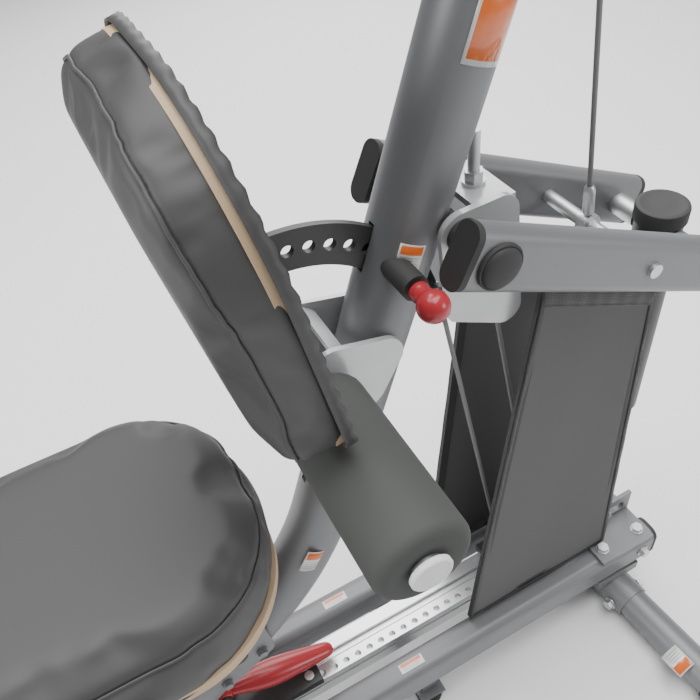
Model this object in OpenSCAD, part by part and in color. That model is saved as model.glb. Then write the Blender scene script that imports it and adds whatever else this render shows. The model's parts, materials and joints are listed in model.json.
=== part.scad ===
/* [Rails] */
// Height of the floor rails
rail_h = 60; // [50:1:62]
// Width of the floor rails
rail_w = 40; // [34:1:44]
// Distance of each rail's centre from the middle of the machine
rail_y = 68; // [66:1:74]
// Rear end of the rails
rail_rear = 765; // [765:1:790]
// Front end of the rails
rail_front = -430; // [-460:1:-410]

/* [Mast] */
// Outer diameter of the mast tube
mast_d = 63.5; // [62:0.5:63.5]
// Lean of the mast from the vertical, towards the rear
mast_lean = 20.8; // [20.8:0.1:21]
// Radius of the bend under the seat
bend_r = 350; // [345:1:355]
// Angle turned by that bend
bend_angle = 28; // [27.5:0.5:28]

/* [Lever arms] */
// Distance of each arm's centre from the middle
arm_y = 73; // [73:0.5:76]
// Slope of the arms at rest, down towards the rear
arm_slope = 25.7; // [25:0.1:26]
// Height of the arm's section
arm_h = 57; // [50:1:58]
// Width of the arm's section
arm_w = 27; // [25:1:28]

/* [Pads] */
// Width of the seat
seat_w = 286; // [260:1:300]
// Length of the seat
seat_l = 400; // [360:1:420]
// Height of the seat's top above the floor
seat_top = 599; // [599:1:605]
// Width of the upright pad
pad_w = 288; // [276:1:294]
// Height of the upright pad
pad_h = 258; // [250:1:262]
// Thickness of the upright pad, with its board
pad_t = 45; // [42:1:48]
// Diameter of the foam rollers
roller_d = 80; // [70:1:84]

/* [Cable] */
// Diameter of the cables
cable_d = 5; // [4:0.5:5]

/* [Hidden] */

$fn = 64;
gap = 0.3;
rail_z = 73;
rail_top = rail_z + rail_h;
rail_r = 14;
wall = 2.5;
mast_r = mast_d / 2;
// One point on the mast's axis, and the bend's centre and ends
mast_ref = [419, 818];
bend_top_z = 486;
bend_top = [mast_ref[0] - (mast_ref[1] - bend_top_z) * tan(mast_lean), bend_top_z];
bend_c = bend_top - bend_r * [cos(mast_lean), -sin(mast_lean)];
foot_lean = mast_lean + bend_angle;
bend_end = bend_c + bend_r * [cos(foot_lean), -sin(foot_lean)];
mast_top = 290;
foot_plate_t = 8;
foot_top = rail_top + foot_plate_t;
// Pivot of the upright pad, and its lean towards the seat
pad_pivot = [296, 688];
pad_lean = 8.8;
hole_r = 130;
hole_pitch = 8;
pin_angle = 44.4;
pin_at = pad_pivot + hole_r * [cos(pin_angle), sin(pin_angle)];
// Pivot of the lever arms
arm_pivot = [443, 797];
arm_front = -24;
arm_rear = 330;
rod_x = 715;
rod_along = (rod_x - arm_pivot[0]) / cos(arm_slope);
rod_at = [rod_x, arm_pivot[1] - rod_along * sin(arm_slope)];
cable_pin_along = 190;
cable_pin_at = arm_pivot + cable_pin_along * [cos(arm_slope), -sin(arm_slope)];
damper_pin_z = rail_top + 24;
// Pulleys
top_c = [520, 1150];
top_r = 45;
low_c = [563, 192];
low_r = 30;
low_y = -12;
cable_r = cable_d / 2;
// Anchors of the lower cable
cable_a = [436, 722];
cable_b = [494, 700];
// Track and its carriage
track_w = 50;
track_h = 40;
track_top = 130;
track_front = -20;
track_rear = 700;
lock_pitch = 18.5;
lock_x = 217;
lock_y = -17;
lever_pivot = [108, 196];
// Seat post
post_x = 150;
post_w = 54;
seat_pin_z = 450;
// Handle
exit_z = top_c[1] + top_r;
eye_x = 296;
bar_z = 1135;
// Floor tubes
leg_r = 24.4;
foot_r = 28;
leg_splay = 4.7;
socket_x = 703;
front_x = -395;

// The origin is on the floor, under the middle of the rails
mid_x = (rail_front + rail_rear) / 2;

// ---- helpers ----
module round_rect(w, h, r) {
    square([w - 2 * r, h], center = true);
    square([w, h - 2 * r], center = true);
    for (x = [-1, 1], y = [-1, 1]) translate([x * (w / 2 - r), y * (h / 2 - r)]) circle(r);
}
// A bar along +X: the profile's first axis is Y and its second is Z
module bar_x(x0, x1) translate([x0, 0, 0]) rotate([90, 0, 90]) linear_extrude(x1 - x0) children();
// A disc or rod along Y
module rod_y(x, z, y0, y1, r) translate([x, y1, z]) rotate([90, 0, 0]) cylinder(r = r, h = y1 - y0);
// A flat plate lying in the XZ plane
module plate_y(y0, y1) translate([0, y1, 0]) rotate([90, 0, 0]) linear_extrude(y1 - y0) children();
module placed() translate([-mid_x, 0, 0]) children();
module both_sides() {
    children();
    mirror([0, 1, 0]) children();
}
module arm_frame() translate([arm_pivot[0], 0, arm_pivot[1]]) rotate([0, arm_slope, 0]) children();
module pad_frame() translate([pad_pivot[0], 0, pad_pivot[1]]) rotate([0, -pad_lean, 0]) children();
// The three stretches of the mast's path, each of the given radius
module mast_straight(r) {
    run = (mast_ref[1] - bend_top_z) / cos(mast_lean);
    translate([bend_top[0], 0, bend_top[1]]) rotate([0, mast_lean, 0]) cylinder(r = r, h = run + mast_top);
}
module bend_sweep() translate([bend_c[0], 0, bend_c[1]]) rotate([90, 0, 0]) rotate([0, 0, -foot_lean])
    rotate_extrude(angle = bend_angle, $fn = 128) translate([bend_r, 0]) children();
module foot_run(r) difference() {
    translate([bend_end[0], 0, bend_end[1]]) rotate([0, foot_lean, 0])
        translate([0, 0, -400]) cylinder(r = r, h = 400);
    translate([-300, -60, foot_top - 200]) cube([400, 120, 200]);
}
// A grooved wheel about an axis along Y
module sheave(c, y, r, rim, w, bore) {
    translate([c[0], y, c[1]]) rotate([90, 0, 0]) rotate_extrude($fn = 96)
        polygon([[bore, -w / 2], [r + rim, -w / 2], [r + rim, -w / 2 + 2], [r - cable_r - 0.5, -2.2],
            [r - cable_r - 0.5, 2.2], [r + rim, w / 2 - 2], [r + rim, w / 2], [bore, w / 2]]);
}
module hex_bolt(r = 8, h = 6) {
    cylinder(r = r * 1.15, h = 1.5);
    translate([0, 0, 1.5]) cylinder(r = r, h = h, $fn = 6);
}
// A straight length of cable between two points of the XZ plane
module cable_run(a, b, y) {
    d = b - a;
    translate([a[0], y, a[1]]) rotate([0, atan2(d[0], d[1]), 0]) cylinder(r = cable_r, h = norm(d), $fn = 24);
}
// Where a line from point p touches the circle of radius r about c; side is 1 or -1
function touch(p, c, r, side) =
    let (d = p - c, l = norm(d), base = atan2(d[1], d[0]), turn = side * acos(r / l))
    c + r * [cos(base + turn), sin(base + turn)];

// ---- base ----
module rail_tube() bar_x(rail_front, rail_rear) difference() {
    round_rect(rail_w, rail_h, rail_r);
    round_rect(rail_w - 2 * wall, rail_h - 2 * wall, rail_r - wall);
}
module left_rail() color("dimgray") translate([0, -rail_y, rail_z + rail_h / 2]) rail_tube();
module right_rail() color("dimgray") translate([0, rail_y, rail_z + rail_h / 2]) rail_tube();
module rail_plug() {
    bar_x(0, 6) round_rect(rail_w, rail_h, rail_r);
    bar_x(-22, 0) round_rect(rail_w - 2 * wall - 0.4, rail_h - 2 * wall - 0.4, rail_r - wall);
}
module rail_end_plugs() color("black") both_sides() {
    translate([rail_rear, -rail_y, rail_z + rail_h / 2]) rail_plug();
    translate([rail_front, -rail_y, rail_z + rail_h / 2]) mirror([1, 0, 0]) rail_plug();
}
module slider_track() color("silver") difference() {
    translate([0, 0, track_top - track_h / 2]) bar_x(track_front, track_rear) difference() {
        square([track_w, track_h], center = true);
        translate([0, -3]) square([track_w - 9, track_h - 16], center = true);
        for (y = [-1, 1]) {
            translate([y * track_w / 2, 4]) square([5, 5], center = true);
            translate([y * 5, track_h / 2]) square([2.4, 4], center = true);
        }
    }
    for (i = [0 : 15]) translate([lock_x + (i - 1) * lock_pitch, lock_y, track_top - 8])
        cylinder(r = 4.6, h = 10, $fn = 32);
}
module cross_tubes() color("dimgray") for (x = [-60, 640])
    translate([x, -rail_y + rail_w / 2, rail_z]) cube([50, 2 * rail_y - rail_w, track_top - track_h - rail_z]);
module mast_foot_plate() color("dimgray") {
    difference() {
        translate([-120, -rail_y - rail_w / 2, rail_top]) cube([165, 2 * rail_y + rail_w, foot_plate_t]);
        for (x = [-100, 25], y = [-1, 1]) translate([x, y * rail_y, rail_top - 1])
            cylinder(r = 5.2, h = foot_plate_t + 2);
    }
    difference() {
        foot_run(mast_r);
        foot_run(mast_r - wall);
    }
}
module rear_top_plate() color("dimgray") {
    difference() {
        translate([665, -rail_y - rail_w / 2, rail_top]) cube([95, 2 * rail_y + rail_w, 6]);
        for (x = [680, 745], y = [-1, 1]) translate([x, y * rail_y, rail_top - 1]) cylinder(r = 5.2, h = 8);
    }
    // slotted lugs for the foot of the damper's rod
    both_sides() plate_y(26, 32) difference() {
        translate([rod_x - 45, rail_top + 6]) square([90, 42]);
        translate([rod_x, damper_pin_z]) for (x = [-24, 24]) translate([x, 0]) circle(10);
        translate([rod_x, damper_pin_z]) square([48, 20], center = true);
    }
}
module front_stabilizer() color("dimgray") difference() {
    rod_y(front_x, foot_r, -260, 260, leg_r);
    rod_y(front_x, foot_r, -261, 261, leg_r - wall);
}
module front_saddle() color("dimgray") both_sides() difference() {
    translate([front_x - 32, 48, foot_r]) cube([64, 40, rail_z - foot_r]);
    rod_y(front_x, foot_r, 40, 100, leg_r + 0.05);
}
module leg_frame() translate([socket_x, 0, foot_r]) rotate([0, 0, leg_splay]) children();
module rear_sockets() color("dimgray") {
    both_sides() leg_frame() difference() {
        rod_y(0, 0, -122, -14, leg_r + 3);
        rod_y(0, 0, -123, -13, leg_r + 0.05);
    }
    both_sides() translate([socket_x - 34, -88, foot_r + leg_r + 2.6])
        cube([76, 40, rail_z - foot_r - leg_r - 2.6]);
    translate([socket_x - 34, -48.5, foot_r + leg_r + 2.6]) cube([76, 97, 6]);
}
module rear_legs() color("dimgray") both_sides() leg_frame() difference() {
    rod_y(0, 0, -300, -30, leg_r);
    rod_y(0, 0, -301, -29, leg_r - wall);
}
module floor_feet() color("black") {
    both_sides() leg_frame() difference() {
        rod_y(0, 0, -304, -268, foot_r);
        rod_y(0, 0, -300, -267, leg_r + 0.05);
    }
    both_sides() difference() {
        rod_y(front_x, foot_r, -264, -228, foot_r);
        rod_y(front_x, foot_r, -260, -227, leg_r + 0.05);
    }
    both_sides() translate([372, -rail_y, 0]) cylinder(r = 20, h = 12);
}
module centre_supports() color("dimgray") both_sides() {
    translate([360, -rail_y - 3, 14]) cube([24, 6, rail_z - 14]);
    translate([352, -rail_y - 16, 12]) cube([40, 32, 4]);
}
module base_bolts() color("darkgray") both_sides() {
    for (x = [-100, 25]) translate([x, -rail_y, foot_top]) hex_bolt();
    for (x = [680, 745]) translate([x, -rail_y, rail_top + 6]) hex_bolt();
    translate([745, -rail_y - rail_w / 2, rail_z + 34]) rotate([90, 0, 0]) hex_bolt(8, 7);
    leg_frame() translate([-leg_r - 3, -104, 0]) rotate([0, -90, 0]) hex_bolt(8, 7);
    leg_frame() translate([leg_r + 3, -104, 0]) rotate([0, 90, 0]) hex_bolt(8, 7);
}
// Tread plates at the front, on a cross tube through brackets on the rails
module foot_plates() color("black") {
    rod_y(-300, rail_top + 24, -225, 225, 12);
    both_sides() translate([-312, -rail_y - 12, rail_top]) cube([24, 24, 14]);
    both_sides() translate([-300, -215, rail_top + 24]) rotate([0, -35, 0]) difference() {
        translate([-14, 0, -30]) cube([8, 105, 230]);
        for (i = [0 : 5]) translate([-16, 12, i * 30 + 5]) cube([3.5, 81, 8]);
    }
}

// ---- mast and what is fixed to it ----
module mast() color("dimgray") difference() {
    mast_straight(mast_r);
    mast_straight(mast_r - wall);
    // slot for the quadrant plate
    difference() {
        rod_y(pad_pivot[0], pad_pivot[1], -4, 4, hole_r + 21);
        rod_y(pad_pivot[0], pad_pivot[1], -5, 5, hole_r - 21);
    }
    rod_y(pin_at[0], pin_at[1], -40, -1, 4.6);
    rod_y(arm_pivot[0], arm_pivot[1], -45, 45, 10.3);
}
module mast_bend() color("dimgray") difference() {
    bend_sweep() circle(mast_r);
    bend_sweep() circle(mast_r - wall);
}
module housing_side() polygon([[468, 1005], [325, 1165], [325, 1220], [590, 1220], [590, 1120], [545, 1005]]);
module pulley_housing() color("dimgray") {
    both_sides() difference() {
        plate_y(mast_r + 0.25, mast_r + 4.25) housing_side();
        rod_y(top_c[0], top_c[1], 20, 50, 6);
        rod_y(496, 1022, 20, 50, 5);
    }
    translate([325, -mast_r - 0.25, 1216]) cube([265, mast_d + 0.5, 4]);
    difference() {
        translate([325, -mast_r - 0.25, 1165]) cube([5, mast_d + 0.5, 51]);
        translate([320, 0, exit_z]) rotate([0, 90, 0]) cylinder(r = 8, h = 15);
    }
    translate([0, 0, -1]) both_sides() translate([0, -mast_r - 4.25, 0]) {
        for (p = [[350, 1185], [570, 1200], [496, 1023]]) translate([p[0], 0, p[1]])
            rotate([90, 0, 0]) hex_bolt(7, 5);
    }
}
module cable_guide() color("black") translate([0, 0, exit_z]) rotate([0, 90, 0]) difference() {
    union() {
        translate([0, 0, 324]) cylinder(r = 7.95, h = 7);
        translate([0, 0, 321]) cylinder(r = 12, h = 4);
        translate([0, 0, 330]) cylinder(r = 12, h = 3);
    }
    translate([0, 0, 320]) cylinder(r = cable_r + 0.6, h = 20);
}
module top_pulley_axle() color("darkgray") {
    rod_y(top_c[0], top_c[1], -mast_r - 6.5, mast_r + 6.5, 5.98);
    both_sides() difference() {
        rod_y(top_c[0], top_c[1], 10.5, mast_r, 10);
        rod_y(top_c[0], top_c[1], 10, mast_r + 1, 5.98);
    }
    both_sides() translate([top_c[0], -mast_r - 4.3, top_c[1]]) rotate([90, 0, 0]) hex_bolt(9, 6);
}
module hub_outline() hull() {
    translate(pad_pivot) circle(26, $fn = 32);
    translate([318, 716]) circle(17, $fn = 32);
    translate([364, 701]) circle(20, $fn = 32);
    translate([344, 668]) circle(20, $fn = 32);
}
module hub_bracket() color("dimgray") {
    both_sides() difference() {
        plate_y(mast_r + 0.25, mast_r + 5.25) hub_outline();
        rod_y(pad_pivot[0], pad_pivot[1], 20, 50, 12.7);
    }
    translate([pad_pivot[0], 0, pad_pivot[1]]) rotate([90, 0, 0]) rotate([0, 0, 40])
        rotate_extrude(angle = 22, $fn = 128) translate([46, -mast_r - 2]) square([3, mast_d + 4]);
}
module roller_axle() color("darkgray") {
    difference() {
        rod_y(pad_pivot[0], pad_pivot[1], -220, 220, 12.68);
        rod_y(pad_pivot[0], pad_pivot[1], -221, 221, 10);
    }
    both_sides() rod_y(pad_pivot[0], pad_pivot[1], -42, -mast_r - 5.5, 20);
}
module roller_end_caps() color("lightgray") both_sides() {
    rod_y(pad_pivot[0], pad_pivot[1], -223, -220, 16);
    rod_y(pad_pivot[0], pad_pivot[1], -220, -206, 9.9);
}
// Side cheeks on the back of the mast that carry the arms' shaft
module cheek() hull() {
    translate([443, 797]) circle(20, $fn = 32);
    translate([480, 800]) circle(18, $fn = 32);
    translate([492, 694]) circle(16, $fn = 32);
    translate([440, 715]) circle(10, $fn = 32);
}
module arm_bracket() color("dimgray") {
    both_sides() difference() {
        plate_y(mast_r + 0.25, mast_r + 6.25) cheek();
        rod_y(arm_pivot[0], arm_pivot[1], 20, 60, 10.02);
    }
    // shelf for the stud, and the cross pins that hold the lower cable's ends
    difference() {
        translate([460, -mast_r - 0.25, 806]) cube([38, mast_d + 0.5, 6]);
        translate([479, 0, 805]) cylinder(r = 5.05, h = 8);
    }
    rod_y(cable_a[0], cable_a[1], -mast_r - 0.25, -6, 5);
    rod_y(cable_b[0], cable_b[1], -mast_r - 0.25, mast_r + 0.25, 5);
}
module arm_shaft() color("darkgray") {
    rod_y(arm_pivot[0], arm_pivot[1], -arm_y - arm_w / 2 - 1, arm_y + arm_w / 2 + 1, 10);
    both_sides() difference() {
        rod_y(arm_pivot[0], arm_pivot[1], -arm_y + arm_w / 2 + 0.4, -mast_r - 6.5, 15);
        rod_y(arm_pivot[0], arm_pivot[1], -arm_y, -mast_r, 10);
    }
    both_sides() translate([arm_pivot[0], -arm_y - arm_w / 2 - 1, arm_pivot[1]]) rotate([90, 0, 0])
        rotate_extrude() intersection() {
            translate([0, -12.5]) circle(20.2);
            square([17, 8]);
        }
}
module tension_stud() color("darkgray") {
    translate([479, 0, 790]) cylinder(r = 5, h = 70, $fn = 32);
    translate([479, 0, 812]) cylinder(r = 10, h = 3);
    translate([479, 0, 815]) cylinder(r = 8.5, h = 9, $fn = 6);
    translate([479, 0, 797]) cylinder(r = 8.5, h = 9, $fn = 6);
}
module pad_pin_barrel() color("black") difference() {
    rod_y(pin_at[0], pin_at[1], -55, -15, 11.5);
    mast_straight(mast_r);
    rod_y(pin_at[0], pin_at[1], -56, -14, 4.6);
}
// A bent stretch of cable round a sheave, slightly proud of the straight runs that enter it
module cable_bend(c, y, r, start, stop) translate([c[0], y, c[1]]) rotate([90, 0, 0]) rotate([0, 0, start])
    rotate_extrude(angle = stop - start, $fn = 96) translate([r, 0]) circle(cable_r + 0.1, $fn = 24);
module riser_cable() color("gray") {
    bottom = cable_pin_at + [-1.2, 12];
    t = touch(bottom, top_c, top_r, 1);
    cable_run(bottom, t, 0);
    a = atan2(t[1] - top_c[1], t[0] - top_c[0]);
    cable_bend(top_c, 0, top_r, a - 1, 90);
}
module lower_cable() color("gray") {
    a = cable_a + [1, -8];
    b = cable_b + [1, -8];
    ta = touch(a, low_c, low_r, 1);
    tb = touch(b, low_c, low_r, -1);
    cable_run(ta, a, low_y);
    cable_run(tb, b, low_y);
    start = atan2(ta[1] - low_c[1], ta[0] - low_c[0]);
    stop = atan2(tb[1] - low_c[1], tb[0] - low_c[0]);
    cable_bend(low_c, low_y, low_r, start - 1.5, start + (stop - start + 720) % 360 + 1.5);
    for (p = [cable_a, cable_b]) difference() {
        rod_y(p[0], p[1], low_y - 4, low_y + 4, 9);
        rod_y(p[0], p[1], low_y - 5, low_y + 5, 5.02);
    }
}
module seat_bracket() color("dimgray") {
    difference() {
        translate([post_x - 32, -32, 378]) cube([64, 64, 107]);
        translate([post_x - 27.05, -27.05, 377]) cube([54.1, 54.1, 109]);
        rod_y(post_x, seat_pin_z, -45, -20, 4.6);
    }
    both_sides() plate_y(32, 36) hull() {
        translate([122, 290]) circle(14, $fn = 32);
        translate([176, 322]) circle(14, $fn = 32);
        translate([118, 400]) square([64, 20]);
    }
    difference() {
        rod_y(post_x, seat_pin_z, -60, -32, 11.5);
        rod_y(post_x, seat_pin_z, -61, -31, 4.6);
    }
    both_sides() for (p = [[124, 292], [174, 322]])
        translate([p[0], -36, p[1]]) rotate([90, 0, 0]) hex_bolt(6, 5);
}
// ---- shroud round the damper ----
shroud_out = 57;
module shroud_side() polygon([[516, 722], [662, 652], [690, 142], [450, 142]]);
module shroud_window() polygon([[524, 706], [652, 644], [676, 154], [464, 154]]);
module shroud_frame() color("black") {
    both_sides() plate_y(shroud_out - 5, shroud_out) difference() {
        shroud_side();
        shroud_window();
    }
    for (p = [[657, 640], [660, 148]])
        translate([p[0] - 5, -shroud_out + 5, p[1]]) cube([8, 2 * shroud_out - 10, 8]);
}
module shroud_mesh() color("dimgray") both_sides() plate_y(shroud_out - 3, shroud_out - 2) shroud_window();

// ---- upright pad ----
module pad_yoke() color("dimgray") {
    difference() {
        union() {
            rod_y(pad_pivot[0], pad_pivot[1], -30, 30, 18);
            both_sides() pad_frame() plate_y(20, 25) {
                hull() {
                    circle(18, $fn = 32);
                    translate([0.5, 40]) square([17, 16]);
                }
                translate([0.5, 50]) square([17, 60]);
            }
        }
        rod_y(pad_pivot[0], pad_pivot[1], -31, 31, 12.74);
    }
    pad_frame() translate([0.5, -25, 40]) cube([6, 50, 205]);
}
module pad_board() color("saddlebrown") pad_frame() translate([-12, 0, 52]) rotate([90, 0, 90])
    linear_extrude(12) pad_outline(4);
module pad_outline(inset) {
    r = 118 - inset;
    w = pad_w / 2 - inset;
    translate([0, inset]) {
        translate([-w, 20]) square([2 * w, pad_h - 2 * inset - 20 - r]);
        translate([-w + 20, 0]) square([2 * w - 40, pad_h - 2 * inset - r]);
        for (s = [-1, 1]) {
            translate([s * (w - 20), 20]) circle(20);
            translate([s * (w - r), pad_h - 2 * inset - r]) circle(r);
        }
        translate([-w + r, pad_h - 2 * inset - r]) square([2 * (w - r), r]);
    }
}
module back_pad() color("black") pad_frame() translate([0, 0, 52]) rotate([90, 0, 90]) {
    translate([0, 0, -pad_t]) linear_extrude(pad_t - 12.5) pad_outline(0);
    translate([0, 0, -pad_t - 9]) linear_extrude(10) pad_outline(18);
}
module quadrant_plate() color("dimgray") difference() {
    translate([pad_pivot[0], 0, pad_pivot[1]]) rotate([90, 0, 0]) rotate([0, 0, 14])
        rotate_extrude(angle = 84, $fn = 180) translate([112, -3]) square([36.5, 6]);
    for (i = [-3 : 5]) let (a = pin_angle + i * hole_pitch)
        rod_y(pad_pivot[0] + hole_r * cos(a), pad_pivot[1] + hole_r * sin(a), -5, 5, 5.4);
    pad_frame() translate([-193.5, -10, 0]) cube([200, 20, 200]);
}
module foam_roller() difference() {
    rod_y(pad_pivot[0], pad_pivot[1], -216, -44, roller_d / 2);
    rod_y(pad_pivot[0], pad_pivot[1], -217, -43, 12.76);
}
module left_roller() color("black") foam_roller();
module right_roller() color("black") mirror([0, 1, 0]) foam_roller();
module pad_pin() color("darkred") {
    rod_y(pin_at[0], pin_at[1], -80, -5, 4.5);
    translate([pin_at[0], -80, pin_at[1]]) sphere(13.5);
}

// ---- seat ----
module seat_outline(inset) {
    r = 118 - inset;
    w = seat_w / 2 - inset;
    rear = 230 - inset;
    front = 230 - seat_l + inset;
    translate([front + 60, -w]) square([rear - r - front - 60, 2 * w]);
    translate([front, -w + 60]) square([rear - r - front, 2 * w - 120]);
    for (s = [-1, 1]) {
        translate([rear - r, s * (w - r)]) circle(r);
        translate([front + 60, s * (w - 60)]) circle(60);
    }
    translate([rear - r, -w + r]) square([r, 2 * (w - r)]);
}
module seat_post() color("dimgray") {
    difference() {
        translate([post_x - post_w / 2, -post_w / 2, 405]) cube([post_w, post_w, 110]);
        translate([post_x - post_w / 2 + 3, -post_w / 2 + 3, 404]) cube([post_w - 6, post_w - 6, 109]);
        for (z = [-25, 0, 25]) rod_y(post_x, seat_pin_z + z, -40, -20, 4.8);
    }
    difference() {
        translate([-120, -70, 515]) cube([320, 140, 6]);
        translate([-90, -40, 514]) cube([170, 80, 8]);
    }
    both_sides() translate([-120, -70, 495]) cube([320, 5, 20]);
}
module seat_board() color("saddlebrown") translate([0, 0, 521]) linear_extrude(12) seat_outline(4);
module seat_cushion() color("black")
    translate([0, 0, 533.5]) linear_extrude(seat_top - 533.5) seat_outline(0);
module seat_pin() color("black") {
    rod_y(post_x, seat_pin_z, -84, -28.5, 4.5);
    rod_y(post_x, seat_pin_z, -96, -75, 12);
}

// ---- lever arms ----
module arm_tube() translate([0, -arm_y, 0]) difference() {
    union() {
        bar_x(arm_front, arm_rear) difference() {
            round_rect(arm_w, arm_h, 12);
            round_rect(arm_w - 2 * wall, arm_h - 2 * wall, 12 - wall);
        }
        for (x = [0, cable_pin_along, rod_along]) rod_y(x, 0, -arm_w / 2, arm_w / 2, x == 0 ? 16 : 11);
    }
    rod_y(0, 0, -arm_w, arm_w, 10.05);
    rod_y(cable_pin_along, 0, -arm_w, arm_w, 7.02);
    rod_y(rod_along, 0, -arm_w, arm_w, 7.02);
}
module left_arm() color("dimgray") arm_frame() arm_tube();
module right_arm() color("dimgray") arm_frame() mirror([0, 1, 0]) arm_tube();
module arm_plug() {
    bar_x(0, 6) round_rect(arm_w, arm_h, 12);
    bar_x(-6, 0) round_rect(arm_w - 2 * wall - 0.4, arm_h - 2 * wall - 0.4, 9);
}
module arm_end_caps() color("black") arm_frame() both_sides() {
    translate([arm_rear, -arm_y, 0]) arm_plug();
    translate([arm_front, -arm_y, 0]) mirror([1, 0, 0]) arm_plug();
}
module cable_pin() color("darkgray") arm_frame() {
    rod_y(cable_pin_along, 0, -arm_y - arm_w / 2 - 4, arm_y + arm_w / 2 + 4, 7);
    rod_y(cable_pin_along, 0, -5, 5, 11.5);
}
module rear_cross_rod() color("darkgray") arm_frame() {
    rod_y(rod_along, 0, -arm_y - arm_w / 2 - 4, arm_y + arm_w / 2 + 4, 7);
    both_sides() difference() {
        rod_y(rod_along, 0, 26, arm_y - arm_w / 2, 12);
        rod_y(rod_along, 0, 25, arm_y, 7);
    }
}
module damper_tube() color("dimgray") difference() {
    translate([rod_x, 0, 0]) union() {
        translate([0, 0, 395]) cylinder(r = 25, h = 297);
        translate([0, 0, 692]) cylinder(r = 26.5, h = 5);
    }
    translate([rod_x, 0, 410]) cylinder(r = 20, h = 275);
    translate([rod_x, 0, 390]) cylinder(r = 11.05, h = 30);
    rod_y(rod_at[0], rod_at[1], -40, 40, 7.05);
}
module damper_rod() color("lightgray") {
    translate([rod_x, 0, damper_pin_z - 12]) cylinder(r = 11, h = 640 - damper_pin_z + 12);
    translate([rod_x, 0, 630]) cylinder(r = 19.5, h = 12);
    rod_y(rod_x, damper_pin_z, -38, 38, 6);
}
module top_pulley() color("black") sheave(top_c, 0, top_r, 5, 20, 6.03);

// ---- carriage on the track ----
module carriage() color("dimgray") {
    difference() {
        union() {
            translate([92, -31, track_top + gap]) cube([76, 62, 18]);
            translate([166, -29, track_top + gap]) cube([66, 24, 14]);
            both_sides() translate([92, -31, 112]) cube([76, 31 - track_w / 2 - gap, 20]);
        }
        translate([lock_x, lock_y, track_top - 1]) cylinder(r = 4.05, h = 20, $fn = 48);
    }
    difference() {
        both_sides() plate_y(13, 17) hull() {
            translate([98, track_top + 18]) square([24, 2]);
            translate(lever_pivot) circle(9, $fn = 32);
        }
        rod_y(lever_pivot[0], lever_pivot[1], -20, 20, 5);
    }
    rod_y(lever_pivot[0], lever_pivot[1], -19, 19, 4.98);
    // block and lugs of the lower pulley
    translate([522, -31, track_top + gap]) cube([84, 62, 16]);
    for (y = [low_y - 13, low_y + 9]) plate_y(y, y + 4) hull() {
        translate([low_c[0] - 20, track_top + 12]) square([40, 4]);
        translate(low_c) circle(12, $fn = 32);
    }
    rod_y(low_c[0], low_c[1], low_y - 16, low_y + 16, 5);
}
module carriage_bar() color("silver") translate([168, 4, track_top + 2]) cube([354, 18, 6]);
module lower_pulley() color("black") sheave(low_c, low_y, low_r, 4, 14, 5.05);
module lock_lever() color("darkred") difference() {
    union() {
        hull() {
            translate([120, 0, 192]) sphere(9, $fn = 32);
            translate([178, 0, 177]) scale([1, 1.15, 1]) sphere(17, $fn = 32);
            translate([252, 0, 156]) sphere(11, $fn = 32);
        }
        rod_y(lever_pivot[0], lever_pivot[1], -12.6, 12.6, 12);
    }
    rod_y(lever_pivot[0], lever_pivot[1], -30, 30, 5.05);
}
module lock_pin() color("darkgray") {
    translate([lock_x, lock_y, track_top + 0.5]) cylinder(r = 4, h = 17, $fn = 48);
    translate([lock_x, lock_y, track_top + 15]) cylinder(r = 6.5, h = 3, $fn = 48);
}

// ---- handle ----
module handle_cable() color("gray") {
    translate([314, 0, exit_z]) rotate([0, 90, 0]) cylinder(r = cable_r, h = top_c[0] - 314 - 0.5, $fn = 24);
    translate([311, 0, exit_z]) sphere(9);
    difference() {
        rod_y(eye_x, exit_z, -3, 3, 8);
        rod_y(eye_x, exit_z, -4, 4, 4.55);
    }
}
module handle_link() color("silver") {
    rod_y(eye_x, exit_z, -12, 12, 4.5);
    both_sides() translate([eye_x, -10, bar_z + 14]) cylinder(r = 3, h = exit_z - bar_z - 11, $fn = 32);
    both_sides() difference() {
        rod_y(eye_x, bar_z, -14, -6, 16);
        rod_y(eye_x, bar_z, -15, -5, 12.52);
    }
}
module row_bar() color("silver") {
    difference() {
        rod_y(eye_x, bar_z, -210, 210, 12.5);
        rod_y(eye_x, bar_z, -211, 211, 9.5);
    }
    both_sides() rod_y(eye_x, bar_z, -212, -207, 12.5);
}
module bar_grips() color("black") both_sides() difference() {
    rod_y(eye_x, bar_z, -208, -75, 17);
    rod_y(eye_x, bar_z, -209, -74, 12.5);
}

placed() left_rail();
placed() right_rail();
placed() rail_end_plugs();
placed() slider_track();
placed() cross_tubes();
placed() mast_foot_plate();
placed() rear_top_plate();
placed() front_stabilizer();
placed() front_saddle();
placed() rear_sockets();
placed() rear_legs();
placed() floor_feet();
placed() centre_supports();
placed() base_bolts();
placed() foot_plates();
placed() mast();
placed() mast_bend();
placed() pulley_housing();
placed() cable_guide();
placed() top_pulley_axle();
placed() hub_bracket();
placed() roller_axle();
placed() roller_end_caps();
placed() arm_bracket();
placed() arm_shaft();
placed() tension_stud();
placed() pad_pin_barrel();
placed() riser_cable();
placed() lower_cable();
placed() seat_bracket();
placed() shroud_frame();
placed() shroud_mesh();
placed() pad_yoke();
placed() pad_board();
placed() back_pad();
placed() quadrant_plate();
placed() left_roller();
placed() right_roller();
placed() pad_pin();
placed() seat_post();
placed() seat_board();
placed() seat_cushion();
placed() seat_pin();
placed() left_arm();
placed() right_arm();
placed() arm_end_caps();
placed() cable_pin();
placed() rear_cross_rod();
placed() damper_tube();
placed() damper_rod();
placed() top_pulley();
placed() carriage();
placed() carriage_bar();
placed() lower_pulley();
placed() lock_lever();
placed() lock_pin();
placed() handle_cable();
placed() handle_link();
placed() row_bar();
placed() bar_grips();
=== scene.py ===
"""Seated cable row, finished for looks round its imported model."""

import json
import math

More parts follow.
